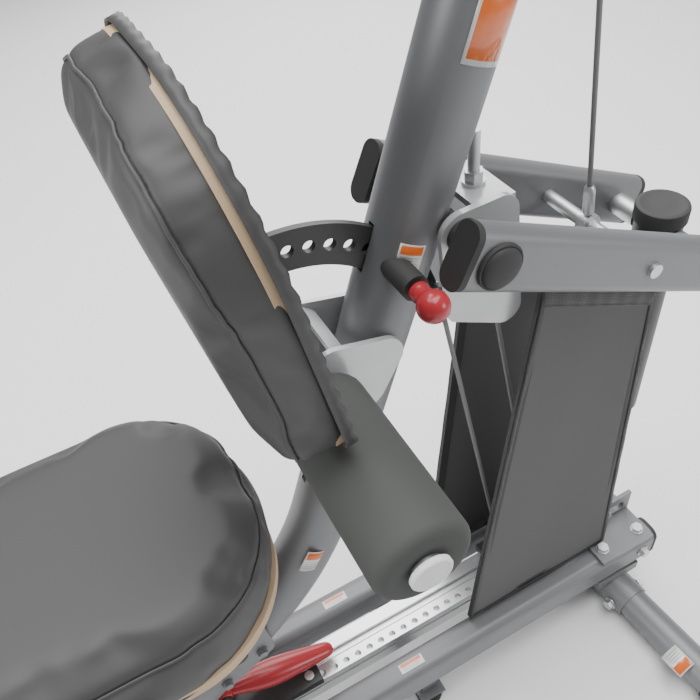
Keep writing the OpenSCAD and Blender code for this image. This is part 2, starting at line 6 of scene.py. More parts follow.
import bmesh
import bpy
import numpy as np
from bpy.props import BoolProperty, FloatProperty, FloatVectorProperty, IntProperty, PointerProperty
from mathutils import Matrix, Vector
from mathutils.bvhtree import BVHTree
from mathutils.kdtree import KDTree


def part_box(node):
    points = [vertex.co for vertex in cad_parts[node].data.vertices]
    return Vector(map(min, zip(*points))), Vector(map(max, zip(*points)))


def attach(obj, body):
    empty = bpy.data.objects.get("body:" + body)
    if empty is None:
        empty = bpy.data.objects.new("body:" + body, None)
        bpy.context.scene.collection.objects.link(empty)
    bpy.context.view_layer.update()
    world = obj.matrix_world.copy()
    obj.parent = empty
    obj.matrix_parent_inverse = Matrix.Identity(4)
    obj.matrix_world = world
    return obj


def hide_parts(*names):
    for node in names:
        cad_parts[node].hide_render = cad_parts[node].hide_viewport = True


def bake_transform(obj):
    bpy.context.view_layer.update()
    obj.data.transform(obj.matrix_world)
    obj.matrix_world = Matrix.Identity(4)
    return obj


bl_info = {
    "name": "Seated Cable Row",
    "version": (1, 0, 0),
    "blender": (4, 5, 0),
    "location": "View3D > Sidebar > Cable Row",
    "description": "Cushions, rollers, shroud, knobs, cables and finishes of a seated cable row",
    "category": "Add Mesh",
}

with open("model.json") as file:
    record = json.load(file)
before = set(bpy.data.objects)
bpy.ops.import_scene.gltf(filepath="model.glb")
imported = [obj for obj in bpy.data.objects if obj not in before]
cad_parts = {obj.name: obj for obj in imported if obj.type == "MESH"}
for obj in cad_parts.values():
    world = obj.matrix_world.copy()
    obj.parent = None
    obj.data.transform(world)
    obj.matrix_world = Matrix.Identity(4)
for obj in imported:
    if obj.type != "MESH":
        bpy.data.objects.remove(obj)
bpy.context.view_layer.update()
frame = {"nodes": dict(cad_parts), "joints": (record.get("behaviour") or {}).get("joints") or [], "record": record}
PIVOTS = {j["name"]: Vector(j["pos_m"]) for j in frame["joints"] if "pos_m" in j}
SLOTS = {s["node"]: s["material_slot"] for s in frame["record"]["subparts"]}


# ---------------------------------------------------------------- sizes and colours
def length(name, description, default, low=0.0, high=2.0):
    return FloatProperty(name=name, description=description, default=default, min=low, max=high,
                         subtype="DISTANCE", unit="LENGTH", precision=4)


def colour(name, description, default):
    return FloatVectorProperty(name=name, description=description, default=default, size=4,
                               min=0, max=1, subtype="COLOR")


class CushionSizes(bpy.types.PropertyGroup):
    """Sizes of the seat and of the upright pad"""
    pad_lean: FloatProperty(name="Pad lean", description="Lean of the upright pad towards the seat",
                            default=math.radians(8.8), subtype="ANGLE", unit="ROTATION")
    pad_width: length("Pad width", "Width of the upright pad", 0.288)
    pad_height: length("Pad height", "Height of the upright pad", 0.258)
    pad_start: length("Pad start", "Distance of the pad's lower edge from its pivot", 0.052)
    pad_thickness: length("Pad thickness", "Thickness of the upright pad's foam", 0.045)
    pad_crown: length("Pad crown", "How much fuller the pad's foam is in its middle", 0.004)
    seat_crown: length("Seat crown", "How much fuller the seat's foam is in its middle", 0.001)
    seat_width: length("Seat width", "Width of the seat cushion", 0.286)
    seat_length: length("Seat length", "Length of the seat cushion", 0.400)
    seat_thickness: length("Seat thickness", "Thickness of the seat with its board", 0.078)
    shrink: length("Cut smaller by", "How much smaller the cover is cut before it is stuffed", 0.0025)
    swell: length("Swell", "How far the cover may swell when it is stuffed", 0.0085)
    welt: length("Welt", "Diameter of the sewn welt", 0.0026)


class SoftSizes(bpy.types.PropertyGroup):
    """Sizes of the rollers, grips, shroud and cables"""
    roller_edge: length("Roller edge", "Rounding of a foam roller's ends", 0.010)
    grip_ribs: IntProperty(name="Grip ribs", description="Ribs along one hand grip", default=15, min=4)
    mesh_pitch: length("Mesh pitch", "Distance between the shroud's woven holes", 0.0019)
    hem_width: length("Hem width", "Width of the shroud's sewn hem", 0.016)
    cable_size: length("Cable diameter", "Diameter of the coated cables", 0.005)


class Finishes(bpy.types.PropertyGroup):
    """Colours of the painted, moulded, woven and upholstered pieces"""
    paint: colour("Frame paint", "Charcoal enamel on the tubes", (0.0060, 0.0063, 0.0070, 1))
    black_paint: colour("Black paint", "Black enamel on the smaller plates", (0.0055, 0.0055, 0.006, 1))
    vinyl: colour("Vinyl", "Upholstery vinyl", (0.0009, 0.00095, 0.00095, 1))
    foam: colour("Foam", "Closed-cell foam", (0.0006, 0.0006, 0.00065, 1))
    red: colour("Red", "Moulded red knob and lever", (0.036, 0.0016, 0.003, 1))
    plastic: colour("Black plastic", "Moulded caps and plugs", (0.0045, 0.0045, 0.005, 1))
    cap: colour("Cap", "Light grey roller caps", (0.46, 0.47, 0.48, 1))
    rubber: colour("Rubber", "Feet and grips", (0.0055, 0.0055, 0.0055, 1))
    mesh: colour("Mesh", "Woven shroud cloth", (0.011, 0.0115, 0.012, 1))
    wood: colour("Plywood", "Boards under the cushions", (0.42, 0.27, 0.14, 1))
    alloy: colour("Alloy", "Anodised track", (0.62, 0.63, 0.64, 1))
    zinc: colour("Zinc", "Plated shafts and fasteners", (0.50, 0.51, 0.52, 1))
    chrome: colour("Chrome", "Bright bar and damper rod", (0.74, 0.75, 0.77, 1))
    cable: colour("Cable", "Black coated wire cable", (0.020, 0.020, 0.021, 1))
    label: colour("Label", "Orange panel of the plain labels", (0.80, 0.16, 0.02, 1))
    worn: BoolProperty(name="Handling marks", description="Adds light wear and dust", default=True)


def sizes():
    return bpy.context.scene.row_cushions, bpy.context.scene.row_soft


# ---------------------------------------------------------------- modelling helpers
def deselect():
    if bpy.context.object and bpy.context.object.mode != "OBJECT":
        bpy.ops.object.mode_set(mode="OBJECT")
    bpy.ops.object.select_all(action="DESELECT")


def only(obj):
    deselect()
    obj.select_set(True)
    bpy.context.view_layer.objects.active = obj
    return obj


def added(name):
    """The primitive just added, with its place moved into its mesh."""
    obj = bpy.context.object
    obj.name = obj.data.name = name
    bpy.context.view_layer.update()
    return placed(obj, obj.matrix_world.copy())


def placed(obj, matrix):
    obj.data.transform(matrix)
    obj.matrix_world = Matrix.Identity(4)
    if matrix.determinant() < 0:
        obj.data.flip_normals()
    return obj


def apply_modifiers(obj):
    only(obj)
    for modifier in list(obj.modifiers):
        bpy.ops.object.modifier_apply(modifier=modifier.name)


def add_bevel(obj, width, segments=2, angle=30):
    modifier = obj.modifiers.new("edge", "BEVEL")
    modifier.width, modifier.segments = width, segments
    modifier.limit_method, modifier.angle_limit = "ANGLE", math.radians(angle)
    apply_modifiers(obj)


def smooth(obj, angle=35):
    only(obj)
    bpy.ops.object.shade_smooth_by_angle(angle=math.radians(angle))
    return obj


def tidy_shell(obj, gap=1e-5):
    only(obj)
    bpy.ops.object.mode_set(mode="EDIT")
    bpy.ops.mesh.select_all(action="SELECT")
    bpy.ops.mesh.remove_doubles(threshold=gap)
    bpy.ops.mesh.normals_make_consistent(inside=False)
    bpy.ops.object.mode_set(mode="OBJECT")
    return obj


def turned(name, profile, sides=48, loop=False):
    """A piece turned about Z: each (radius, height) of the profile is one extruded and sized ring."""
    deselect()
    (radius, height), *rest = profile
    bpy.ops.mesh.primitive_circle_add(vertices=sides, radius=radius, location=(0, 0, height),
                                      fill_type="NOTHING" if loop else "NGON")
    obj = bpy.context.object
    bpy.ops.object.mode_set(mode="EDIT")
    bpy.ops.mesh.select_all(action="SELECT")
    for ring_radius, ring_height in rest + ([profile[0]] if loop else []):
        bpy.ops.mesh.extrude_edges_move(
            TRANSFORM_OT_translate={"value": (0, 0, ring_height - height)})
        scale = ring_radius / radius
        bpy.ops.transform.resize(value=(scale, scale, 1))
        radius, height = ring_radius, ring_height
    if not loop:
        bpy.ops.mesh.edge_face_add()
    bpy.ops.object.mode_set(mode="OBJECT")
    added(name)
    return tidy_shell(obj)


def along_y(point, towards=-1):
    """Turns a piece made about Z so that its height runs along Y from a point."""
    return Matrix.Translation(point) @ Matrix.Rotation(math.radians(90) * -towards, 4, "X")


def rounded(radius, start, end, centre, steps=6):
    """Points of an arc in a turned profile; angles in degrees from the radial direction."""
    angles = [math.radians(start + (end - start) * i / steps) for i in range(steps + 1)]
    return [(centre[0] + radius * math.cos(a), centre[1] + radius * math.sin(a)) for a in angles]


def joined(name, pieces):
    only(pieces[0])
    for piece in pieces[1:]:
        piece.select_set(True)
    bpy.ops.object.join()
    pieces[0].name = pieces[0].data.name = name
    return pieces[0]


def tube(name, path, radius, sides=12, closed=False):
    """A round tube along points, with a UV map that runs along it in metres."""
    mesh = bmesh.new()
    layer = mesh.loops.layers.uv.new("along")
    points = [Vector(p) for p in path]
    count = len(points)
    rings, run, normal = [], [0.0], None
    for i, point in enumerate(points):
        before = points[i - 1] if (i or closed) else point
        after = points[(i + 1) % count] if (i < count - 1 or closed) else point
        tangent = (after - before).normalized()
        if normal is None:
            normal = tangent.orthogonal().normalized()
        normal = (normal - tangent * normal.dot(tangent)).normalized()
        side = tangent.cross(normal)
        rings.append([mesh.verts.new(point + radius * (math.cos(a) * normal + math.sin(a) * side))
                      for a in (math.tau * k / sides for k in range(sides))])
        if i:
            run.append(run[-1] + (point - points[i - 1]).length)
    if closed:
        run.append(run[-1] + (points[0] - points[-1]).length)
    for i in range(count if closed else count - 1):
        a, b = rings[i], rings[(i + 1) % count]
        for k in range(sides):
            face = mesh.faces.new((a[k], b[k], b[(k + 1) % sides], a[(k + 1) % sides]))
            for loop, (u, v) in zip(face.loops, ((k, i), (k, i + 1), (k + 1, i + 1), (k + 1, i))):
                loop[layer].uv = (u / sides * math.tau * radius, run[v])
            face.smooth = True
    if not closed:
        mesh.faces.new(rings[0])
        mesh.faces.new(rings[-1][::-1])
    bmesh.ops.recalc_face_normals(mesh, faces=mesh.faces)
    data = bpy.data.meshes.new(name)
    mesh.to_mesh(data)
    mesh.free()
    obj = bpy.data.objects.new(name, data)
    bpy.context.scene.collection.objects.link(obj)
    return obj


def finish_piece(obj, slot, body, replaced=()):
    obj.data.materials.clear()
    obj.data.materials.append(bpy.data.materials[slot])
    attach(obj, body)
    if replaced:
        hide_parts(*replaced)
    return obj


# ---------------------------------------------------------------- shared effects
def build_group(name, inputs, outputs, make):
    group = bpy.data.node_groups.new(name, "ShaderNodeTree")
    for socket, kind, value in inputs:
        made = group.interface.new_socket(name=socket, in_out="INPUT", socket_type=kind)
        if value is not None:
            made.default_value = value
    for socket, kind in outputs:
        group.interface.new_socket(name=socket, in_out="OUTPUT", socket_type=kind)
    make(Wiring(group), group.nodes.new("NodeGroupInput"), group.nodes.new("NodeGroupOutput"))


class Wiring:
    """Short ways to add and join shader nodes in one tree."""

    def __init__(self, tree):
        self.tree = tree

    def join(self, value, socket):
        if isinstance(value, bpy.types.NodeSocket):
            self.tree.links.new(value, socket)
        elif value is not None:
            socket.default_value = value

    def node(self, kind, inputs=(), **settings):
        node = self.tree.nodes.new("ShaderNode" + kind)
        for key, value in settings.items():
            setattr(node, key, value)
        for key, value in dict(inputs).items():
            self.join(value, node.inputs[key])
        return node

    def math(self, operation, a, b=None, c=None):
        node = self.node("Math", operation=operation)
        for socket, value in zip(node.inputs, (a, b, c)):
            self.join(value, socket)
        return node.outputs[0]

    def noise(self, vector, scale, detail=3.0, roughness=0.55):
        return self.node("TexNoise", {"Vector": vector, "Scale": scale, "Detail": detail,
                                      "Roughness": roughness}).outputs["Fac"]

    def ramp(self, value, low, high, to_low=0.0, to_high=1.0):
        return self.node("MapRange", {"Value": value, "From Min": low, "From Max": high,
                                      "To Min": to_low, "To Max": to_high}).outputs[0]

    def mix(self, factor, a, b):
        node = self.node("Mix", data_type="RGBA")
        for socket, value in ((node.inputs[0], factor), (node.inputs[6], a), (node.inputs[7], b)):
            self.join(value, socket)
        return node.outputs[2]

    def group(self, name, **inputs):
        node = self.tree.nodes.new("ShaderNodeGroup")
        node.node_tree = bpy.data.node_groups[name]
        for key, value in inputs.items():
            self.join(value, node.inputs[key.replace("_", " ")])
        return node


def make_speckle(w, gi, go):
    """Fine relief with slow patches: Height for a bump and Patch for colour and gloss."""
    fine = w.noise(gi.outputs["Vector"], gi.outputs["Scale"], 4.0, 0.6)
    slow = w.noise(gi.outputs["Vector"], 7.0, 2.0)
    w.join(fine, go.inputs["Height"])
    w.join(w.ramp(slow, 0.35, 0.68), go.inputs["Patch"])


def make_wear(w, gi, go):
    """Sparse thin scratches and rubbed spots."""
    stretched = w.node("Mapping", {"Vector": gi.outputs["Vector"], "Scale": (9.0, 60.0, 60.0)}).outputs[0]
    lines = w.noise(stretched, 3.0, 6.0, 0.7)
    spots = w.noise(gi.outputs["Vector"], 45.0, 5.0, 0.7)
    both = w.math("MAXIMUM", w.ramp(lines, 0.70, 0.74), w.ramp(spots, 0.70, 0.75))
    w.join(w.math("MULTIPLY", both, gi.outputs["Amount"]), go.inputs["Mask"])


def make_dust(w, gi, go):
    """Dust that settles on what faces up, in patches."""
    up = w.node("SeparateXYZ", {"Vector": w.node("NewGeometry").outputs["Normal"]}).outputs["Z"]
    patches = w.noise(gi.outputs["Vector"], 22.0, 6.0, 0.7)
    amount = w.math("MULTIPLY", w.ramp(up, 0.25, 1.0), w.ramp(patches, 0.38, 0.75))
    w.join(w.math("MULTIPLY", amount, gi.outputs["Amount"]), go.inputs["Mask"])


def make_leather(w, gi, go):
    """Pebbled grain of upholstery vinyl, with creases."""
    cells = w.node("TexVoronoi", {"Vector": gi.outputs["Vector"], "Scale": gi.outputs["Scale"]},
                   feature="SMOOTH_F1")
    creases = w.node("TexVoronoi", {"Vector": gi.outputs["Vector"],
                                    "Scale": w.math("MULTIPLY", gi.outputs["Scale"], 0.55)},
                     feature="DISTANCE_TO_EDGE")
    grain = w.math("SUBTRACT", 1.0, cells.outputs["Distance"])
    valley = w.ramp(creases.outputs["Distance"], 0.0, 0.12)
    slow = w.noise(gi.outputs["Vector"], 9.0, 3.0)
    w.join(w.math("MULTIPLY", grain, valley), go.inputs["Height"])
    # Valley is 0 in the creases; the vinyl darkens its colour there as painted shade
    w.join(valley, go.inputs["Valley"])
    w.join(w.ramp(slow, 0.3, 0.7), go.inputs["Patch"])


def make_weave(w, gi, go):
    """Plain weave in two directions: Hole where light passes, Height for the threads."""
    split = w.node("SeparateXYZ", {"Vector": gi.outputs["Vector"]})
    turns = w.math("DIVIDE", math.tau, gi.outputs["Pitch"])
    across = w.math("SINE", w.math("MULTIPLY", split.outputs["X"], turns))
    down = w.math("SINE", w.math("MULTIPLY", split.outputs["Y"], turns))
    both = w.math("MULTIPLY", w.ramp(across, -1.0, 1.0), w.ramp(down, -1.0, 1.0))
    w.join(w.ramp(both, gi.outputs["Closed"], w.math("ADD", gi.outputs["Closed"], 0.12)),
           go.inputs["Hole"])
    w.join(w.math("SUBTRACT", 1.0, both), go.inputs["Height"])


def make_strands(w, gi, go):
    """Twisted strands under a thin coat, along a UV map in metres."""
    split = w.node("SeparateXYZ", {"Vector": gi.outputs["Vector"]})
    turn = w.math("ADD", w.math("MULTIPLY", split.outputs["X"], gi.outputs["Around"]),
                  w.math("MULTIPLY", split.outputs["Y"], gi.outputs["Along"]))
    w.join(w.ramp(w.math("SINE", turn), -1.0, 1.0), go.inputs["Height"])


def build_effects():
    vector, scalar = ("Vector", "NodeSocketVector", None), "NodeSocketFloat"
    build_group("speckle", [vector, ("Scale", scalar, 900.0)],
                [("Height", scalar), ("Patch", scalar)], make_speckle)
    build_group("wear", [vector, ("Amount", scalar, 0.5)], [("Mask", scalar)], make_wear)
    build_group("dust", [vector, ("Amount", scalar, 0.2)], [("Mask", scalar)], make_dust)
    build_group("leather", [vector, ("Scale", scalar, 700.0)],
                [("Height", scalar), ("Valley", scalar), ("Patch", scalar)], make_leather)
    build_group("weave", [vector, ("Pitch", scalar, 0.0018), ("Closed", scalar, 0.4)],
                [("Hole", scalar), ("Height", scalar)], make_weave)
    build_group("strands", [vector, ("Around", scalar, 400.0), ("Along", scalar, 2200.0)],
                [("Height", scalar)], make_strands)


# ---------------------------------------------------------------- materials
def new_finish(name, **constants):
    # KNOWN FAULT: the frame already holds materials with most of these names, so Blender calls
    # this one NAME.001, and the lookups by plain name below and above find the frame's flat one
    material = bpy.data.materials.new(name)
    material.use_nodes = True
    shader = material.node_tree.nodes["Principled BSDF"]
    for key, value in constants.items():
        shader.inputs[key.replace("_", " ")].default_value = value
    w = Wiring(material.node_tree)
    return w, shader, w.node("TexCoord").outputs["Object"]


def shade(rgba, factor):
    return (*(min(1.0, c * factor) for c in rgba[:3]), 1.0)


def add_bump(w, shader, height, strength, distance):
    bump = w.node("Bump", {"Height": height, "Strength": strength, "Distance": distance})
    w.join(bump.outputs["Normal"], shader.inputs["Normal"])


def enamel(name, base, rough, worn, metal=0.25):
    """Glossy sprayed enamel: orange peel, slow gloss patches, fine marks and dust."""
    w, shader, place = new_finish(name, Metallic=metal, Coat_Weight=0.22, Coat_Roughness=0.06,
                                  Specular_IOR_Level=0.28)
    peel = w.group("speckle", Vector=place, Scale=420.0)
    marks = w.group("wear", Vector=place, Amount=0.35 * worn).outputs["Mask"]
    dust = w.group("dust", Vector=place, Amount=0.014 * worn).outputs["Mask"]
    flake = w.node("TexVoronoi", {"Vector": place, "Scale": 3200.0}).outputs["Distance"]
    tone = w.mix(peel.outputs["Patch"], shade(base, 0.86), shade(base, 1.12))
    tone = w.mix(w.ramp(flake, 0.0, 0.18, 0.20, 0.0), tone, shade(base, 4.0))
    tone = w.mix(marks, tone, shade(base, 2.6))
    w.join(w.mix(dust, tone, (0.30, 0.29, 0.27, 1)), shader.inputs["Base Color"])
    gloss = w.math("ADD", w.ramp(peel.outputs["Patch"], 0, 1, rough, rough + 0.08),
                   w.math("MULTIPLY", w.math("ADD", marks, dust), 0.35))
    w.join(gloss, shader.inputs["Roughness"])
    add_bump(w, shader, peel.outputs["Height"], 0.10, 0.0006)


def moulded(name, base, rough, worn, grain=900.0, coat=0.0, relief=0.25):
    """Injection-moulded plastic or rubber with a fine spark-eroded texture."""
    w, shader, place = new_finish(name, Coat_Weight=coat, Coat_Roughness=0.06)
    skin = w.group("speckle", Vector=place, Scale=grain)
    marks = w.group("wear", Vector=place, Amount=0.30 * worn).outputs["Mask"]
    dust = w.group("dust", Vector=place, Amount=0.016 * worn).outputs["Mask"]
    tone = w.mix(skin.outputs["Patch"], shade(base, 0.88), shade(base, 1.15))
    tone = w.mix(w.math("MULTIPLY", marks, 0.5), tone, shade(base, 1.9))
    w.join(w.mix(dust, tone, (0.32, 0.31, 0.29, 1)), shader.inputs["Base Color"])
    gloss = w.math("ADD", w.ramp(skin.outputs["Height"], 0.3, 0.7, rough - 0.04, rough + 0.06),
                   w.math("MULTIPLY", dust, 0.3))
    w.join(gloss, shader.inputs["Roughness"])
    add_bump(w, shader, skin.outputs["Height"], relief, 0.0004)


def plated(name, base, rough, worn, stretch=(1.0, 60.0, 60.0), scale=90.0):
    """Bare or plated metal with brushing marks along one axis."""
    w, shader, place = new_finish(name, Metallic=1.0)
    flow = w.node("Mapping", {"Vector": place, "Scale": stretch}).outputs[0]
    lines = w.noise(flow, scale, 5.0, 0.65)
    bloom = w.noise(place, 16.0, 4.0)
    marks = w.group("wear", Vector=place, Amount=0.5 * worn).outputs["Mask"]
    tone = w.mix(w.ramp(bloom, 0.3, 0.7), shade(base, 0.82), shade(base, 1.08))
    tone = w.mix(w.ramp(lines, 0.35, 0.65, 0.0, 0.22), tone, shade(base, 0.55))
    w.join(w.mix(marks, tone, shade(base, 0.5)), shader.inputs["Base Color"])
    w.join(w.math("ADD", w.ramp(lines, 0.3, 0.7, rough - 0.05, rough + 0.10),
                  w.math("MULTIPLY", marks, 0.2)), shader.inputs["Roughness"])
    add_bump(w, shader, lines, 0.06, 0.0003)


def upholstery(name, base):
    """Black vinyl: pebbled grain, creases darkened as painted shade, and a soft sheen that varies with handling.
    """
    w, shader, place = new_finish(name, Specular_IOR_Level=0.13)
    grain = w.group("leather", Vector=place, Scale=620.0)
    pull = w.noise(w.node("Mapping", {"Vector": place, "Scale": (14.0, 5.0, 14.0)}).outputs[0], 2.0, 4.0)
    tone = w.mix(grain.outputs["Patch"], shade(base, 0.85), shade(base, 1.25))
    # painted shade: the colour falls to half in the crease valleys
    tone = w.mix(grain.outputs["Valley"], shade(base, 0.5), tone)
    w.join(tone, shader.inputs["Base Color"])
    w.join(w.ramp(grain.outputs["Patch"], 0, 1, 0.38, 0.48), shader.inputs["Roughness"])
    height = w.math("ADD", w.math("MULTIPLY", grain.outputs["Height"], 0.16),
                    w.math("MULTIPLY", pull, 1.1))
    add_bump(w, shader, height, 0.35, 0.0016)


def cellular(name, base):
    """Closed-cell foam with an open, torn-looking skin; its sunken cells are darkened as painted shade."""
    w, shader, place = new_finish(name, Specular_IOR_Level=0.03)
    cells = w.node("TexVoronoi", {"Vector": place, "Scale": 900.0}).outputs["Distance"]
    skin = w.group("speckle", Vector=place, Scale=1300.0)
    dents = w.noise(place, 70.0, 3.0)
    tone = w.mix(skin.outputs["Patch"], shade(base, 0.8), shade(base, 1.35))
    # painted shade: the colour darkens towards each cell's sunken middle
    tone = w.mix(w.ramp(cells, 0.1, 0.6, 0.35, 0.0), tone, shade(base, 0.3))
    w.join(tone, shader.inputs["Base Color"])
    w.join(w.ramp(skin.outputs["Height"], 0.3, 0.7, 0.82, 1.0), shader.inputs["Roughness"])
    height = w.math("ADD", w.math("MULTIPLY", cells, 0.4), w.math("MULTIPLY", dents, 1.2))
    add_bump(w, shader, w.math("ADD", height, skin.outputs["Height"]), 0.55, 0.0011)


def plywood(name, base):
    w, shader, place = new_finish(name)
    flow = w.node("Mapping", {"Vector": place, "Scale": (4.0, 60.0, 60.0)}).outputs[0]
    grain = w.noise(flow, 3.0, 6.0, 0.7)
    plies = w.node("TexWave", {"Vector": place, "Scale": 90.0, "Distortion": 0.6}, wave_type="BANDS",
                   bands_direction="Z").outputs["Fac"]
    tone = w.mix(w.ramp(grain, 0.3, 0.7), shade(base, 0.6), shade(base, 1.15))
    w.join(w.mix(w.ramp(plies, 0.45, 0.55, 0.0, 0.35), tone, shade(base, 0.45)),
           shader.inputs["Base Color"])
    w.join(w.ramp(grain, 0.3, 0.7, 0.55, 0.75), shader.inputs["Roughness"])
    add_bump(w, shader, grain, 0.3, 0.0005)


def stranded(name, base):
    w, shader, place = new_finish(name, Coat_Weight=0.2, Coat_Roughness=0.2)
    along = w.node("UVMap", uv_map="along").outputs[0]
    lay = w.group("strands", Vector=along).outputs["Height"]
    patch = w.noise(place, 60.0, 4.0)
    tone = w.mix(w.ramp(patch, 0.3, 0.7), shade(base, 0.7), shade(base, 1.6))
    # painted highlight: the colour is lifted towards four times its tone on the raised crests of the strands
    w.join(w.mix(w.ramp(lay, 0.55, 1.0, 0.0, 0.6), tone, shade(base, 4.0)), shader.inputs["Base Color"])
    w.join(w.ramp(lay, 0, 1, 0.42, 0.28), shader.inputs["Roughness"])
    add_bump(w, shader, lay, 0.8, 0.0006)


def woven(name, base, pitch, closed, uv_map="cloth"):
    """See-through plain weave in metres of cloth, with painted highlight on the raised threads and painted shade
    between them; a closed weave makes the hem.
    """
    w, shader, _ = new_finish(name, Sheen_Weight=0.15, Specular_IOR_Level=0.35)
    flat = w.node("UVMap", uv_map=uv_map).outputs[0]
    cloth = w.group("weave", Vector=flat, Pitch=pitch, Closed=closed)
    slub = w.noise(w.node("Mapping", {"Vector": flat, "Scale": (1.0, 26.0, 1.0)}).outputs[0], 34.0, 4.0)
    tone = w.mix(w.ramp(slub, 0.3, 0.7), shade(base, 0.65), shade(base, 1.5))
    # painted highlight and shade: the colour lightens towards the raised threads, leaving the hollows between them
    # darker
    w.join(w.mix(w.ramp(cloth.outputs["Height"], 0.5, 1.0, 0.0, 0.5), tone, shade(base, 1.9)),
           shader.inputs["Base Color"])
    w.join(w.ramp(slub, 0.3, 0.7, 0.42, 0.62), shader.inputs["Roughness"])
    if closed < 0.9:
        w.join(w.math("SUBTRACT", 1.0, cloth.outputs["Hole"]), shader.inputs["Alpha"])
    add_bump(w, shader, cloth.outputs["Height"], 0.5, 0.0005)


def printed(name, panel, bands):
    """A plain printed label: a coloured panel with a white border and grey bars, no lettering."""
    w, shader, place = new_finish(name, Coat_Weight=0.6, Coat_Roughness=0.1)
    split = w.node("SeparateXYZ", {"Vector": w.node("UVMap", uv_map="label").outputs[0]})
    u, v = split.outputs["X"], split.outputs["Y"]

    def inside(value, low, high):
        return w.math("MULTIPLY", w.math("GREATER_THAN", value, low), w.math("LESS_THAN", value, high))

    block = w.math("MULTIPLY", inside(u, 0.07, 0.93), inside(v, 1.0 - bands, 0.94))
    rows = w.math("GREATER_THAN", w.math("SINE", w.math("MULTIPLY", v, 58.0)), 0.35)
    bars = w.math("MULTIPLY", rows, w.math("MULTIPLY", inside(u, 0.12, 0.84),
                                           inside(v, 0.08, 0.96 - bands)))
    rubbed = w.noise(place, 160.0, 4.0)
    tone = w.mix(w.ramp(rubbed, 0.3, 0.7, 0.0, 0.15), (0.72, 0.72, 0.70, 1), (0.5, 0.5, 0.48, 1))
    tone = w.mix(w.math("MULTIPLY", bars, 0.55), tone, (0.16, 0.16, 0.17, 1))
    w.join(w.mix(block, tone, w.mix(w.ramp(rubbed, 0.3, 0.7, 0.0, 0.25), panel, shade(panel, 0.6))),
           shader.inputs["Base Color"])
    w.join(w.ramp(rubbed, 0.3, 0.7, 0.28, 0.42), shader.inputs["Roughness"])
    add_bump(w, shader, rubbed, 0.05, 0.0003)


# ---------------------------------------------------------------- cushions
def cut_panel(name, width, depth, corners, thickness, edge):
    """A flat panel on XY from 0 to depth in X, with rounded corners, raised to its thickness."""
    deselect()
    bpy.ops.mesh.primitive_plane_add(size=1, location=(depth / 2, 0, 0))
    obj = bpy.context.object
    obj.scale = (depth, width, 1)
    added(name)
    for side, radius in zip((0, 1), corners):
        only(obj)
        bpy.ops.object.mode_set(mode="EDIT")
        mesh = bmesh.from_edit_mesh(obj.data)
        for vert in mesh.verts:
            vert.select = (abs(vert.co.x - depth * side) < 1e-6
                           and abs(abs(vert.co.y) - width / 2) < 1e-6)
        mesh.select_flush_mode()
        bmesh.update_edit_mesh(obj.data)
        bpy.ops.mesh.bevel(offset=radius, segments=14, affect="VERTICES")
        bpy.ops.object.mode_set(mode="OBJECT")
    only(obj)
    bpy.ops.object.mode_set(mode="EDIT")
    bpy.ops.mesh.select_all(action="SELECT")
    bpy.ops.mesh.extrude_region_move(TRANSFORM_OT_translate={"value": (0, 0, thickness)})
    bpy.ops.mesh.select_all(action="SELECT")
    bpy.ops.mesh.normals_make_consistent(inside=False)
    bpy.ops.object.mode_set(mode="OBJECT")
    add_bevel(obj, edge, 5, 60)
    return obj


def fill_cover(obj, thickness, swell, voxel, crown):
    """Stuffs a cover: remeshed, blown up as cloth with its base held, and kept near its cut shape."""
    remesh = obj.modifiers.new("even", "REMESH")
    remesh.mode, remesh.voxel_size = "VOXEL", voxel
    apply_modifiers(obj)
    rest = np.array([v.co for v in obj.data.vertices])
    held = [i for i, p in enumerate(rest) if p[2] < 0.35 * voxel]
    reach = np.clip(rest[:, 2] / (0.5 * thickness), 0, 1)
    low, high = rest.min(0), rest.max(0)
    away = np.clip(np.minimum(rest[:, :2] - low[:2], high[:2] - rest[:, :2]).min(1) / 0.08, 0, 1)
    rest[:, 2] += crown * reach * (2 * away - away * away)
    obj.data.vertices.foreach_set("co", rest.ravel())
    group = obj.vertex_groups.new(name="held")
    group.add(held, 1.0, "REPLACE")
    cloth = obj.modifiers.new("stuffing", "CLOTH")
    settings = cloth.settings
    settings.quality = 5
    settings.use_pressure = True
    settings.uniform_pressure_force = 4
    settings.effector_weights.gravity = 0
    settings.vertex_group_mass = "held"
    settings.tension_stiffness = settings.compression_stiffness = 12
    settings.bending_stiffness = 2.0
    scene = bpy.context.scene
    for step in range(1, 21):
        scene.frame_set(step)
    posed = obj.evaluated_get(bpy.context.evaluated_depsgraph_get())
    moved = np.array([v.co for v in posed.data.vertices])
    obj.modifiers.remove(cloth)
    obj.vertex_groups.clear()
    scene.frame_set(1)
    shift = moved - rest
    far = np.linalg.norm(shift, axis=1, keepdims=True)
    limit = swell * (0.35 + 0.65 * reach[:, None])
    moved = rest + shift * np.minimum(1.0, limit / np.maximum(far, 1e-9))
    moved[:, 2] = np.maximum(moved[:, 2], 0)
    obj.data.vertices.foreach_set("co", moved.ravel())
    relax = obj.modifiers.new("relax", "SMOOTH")
    relax.factor, relax.iterations = 0.5, 4
    finer = obj.modifiers.new("finer", "SUBSURF")
    finer.levels = finer.render_levels = 1
    apply_modifiers(obj)
    for polygon in obj.data.polygons:
        polygon.use_smooth = True
    return obj


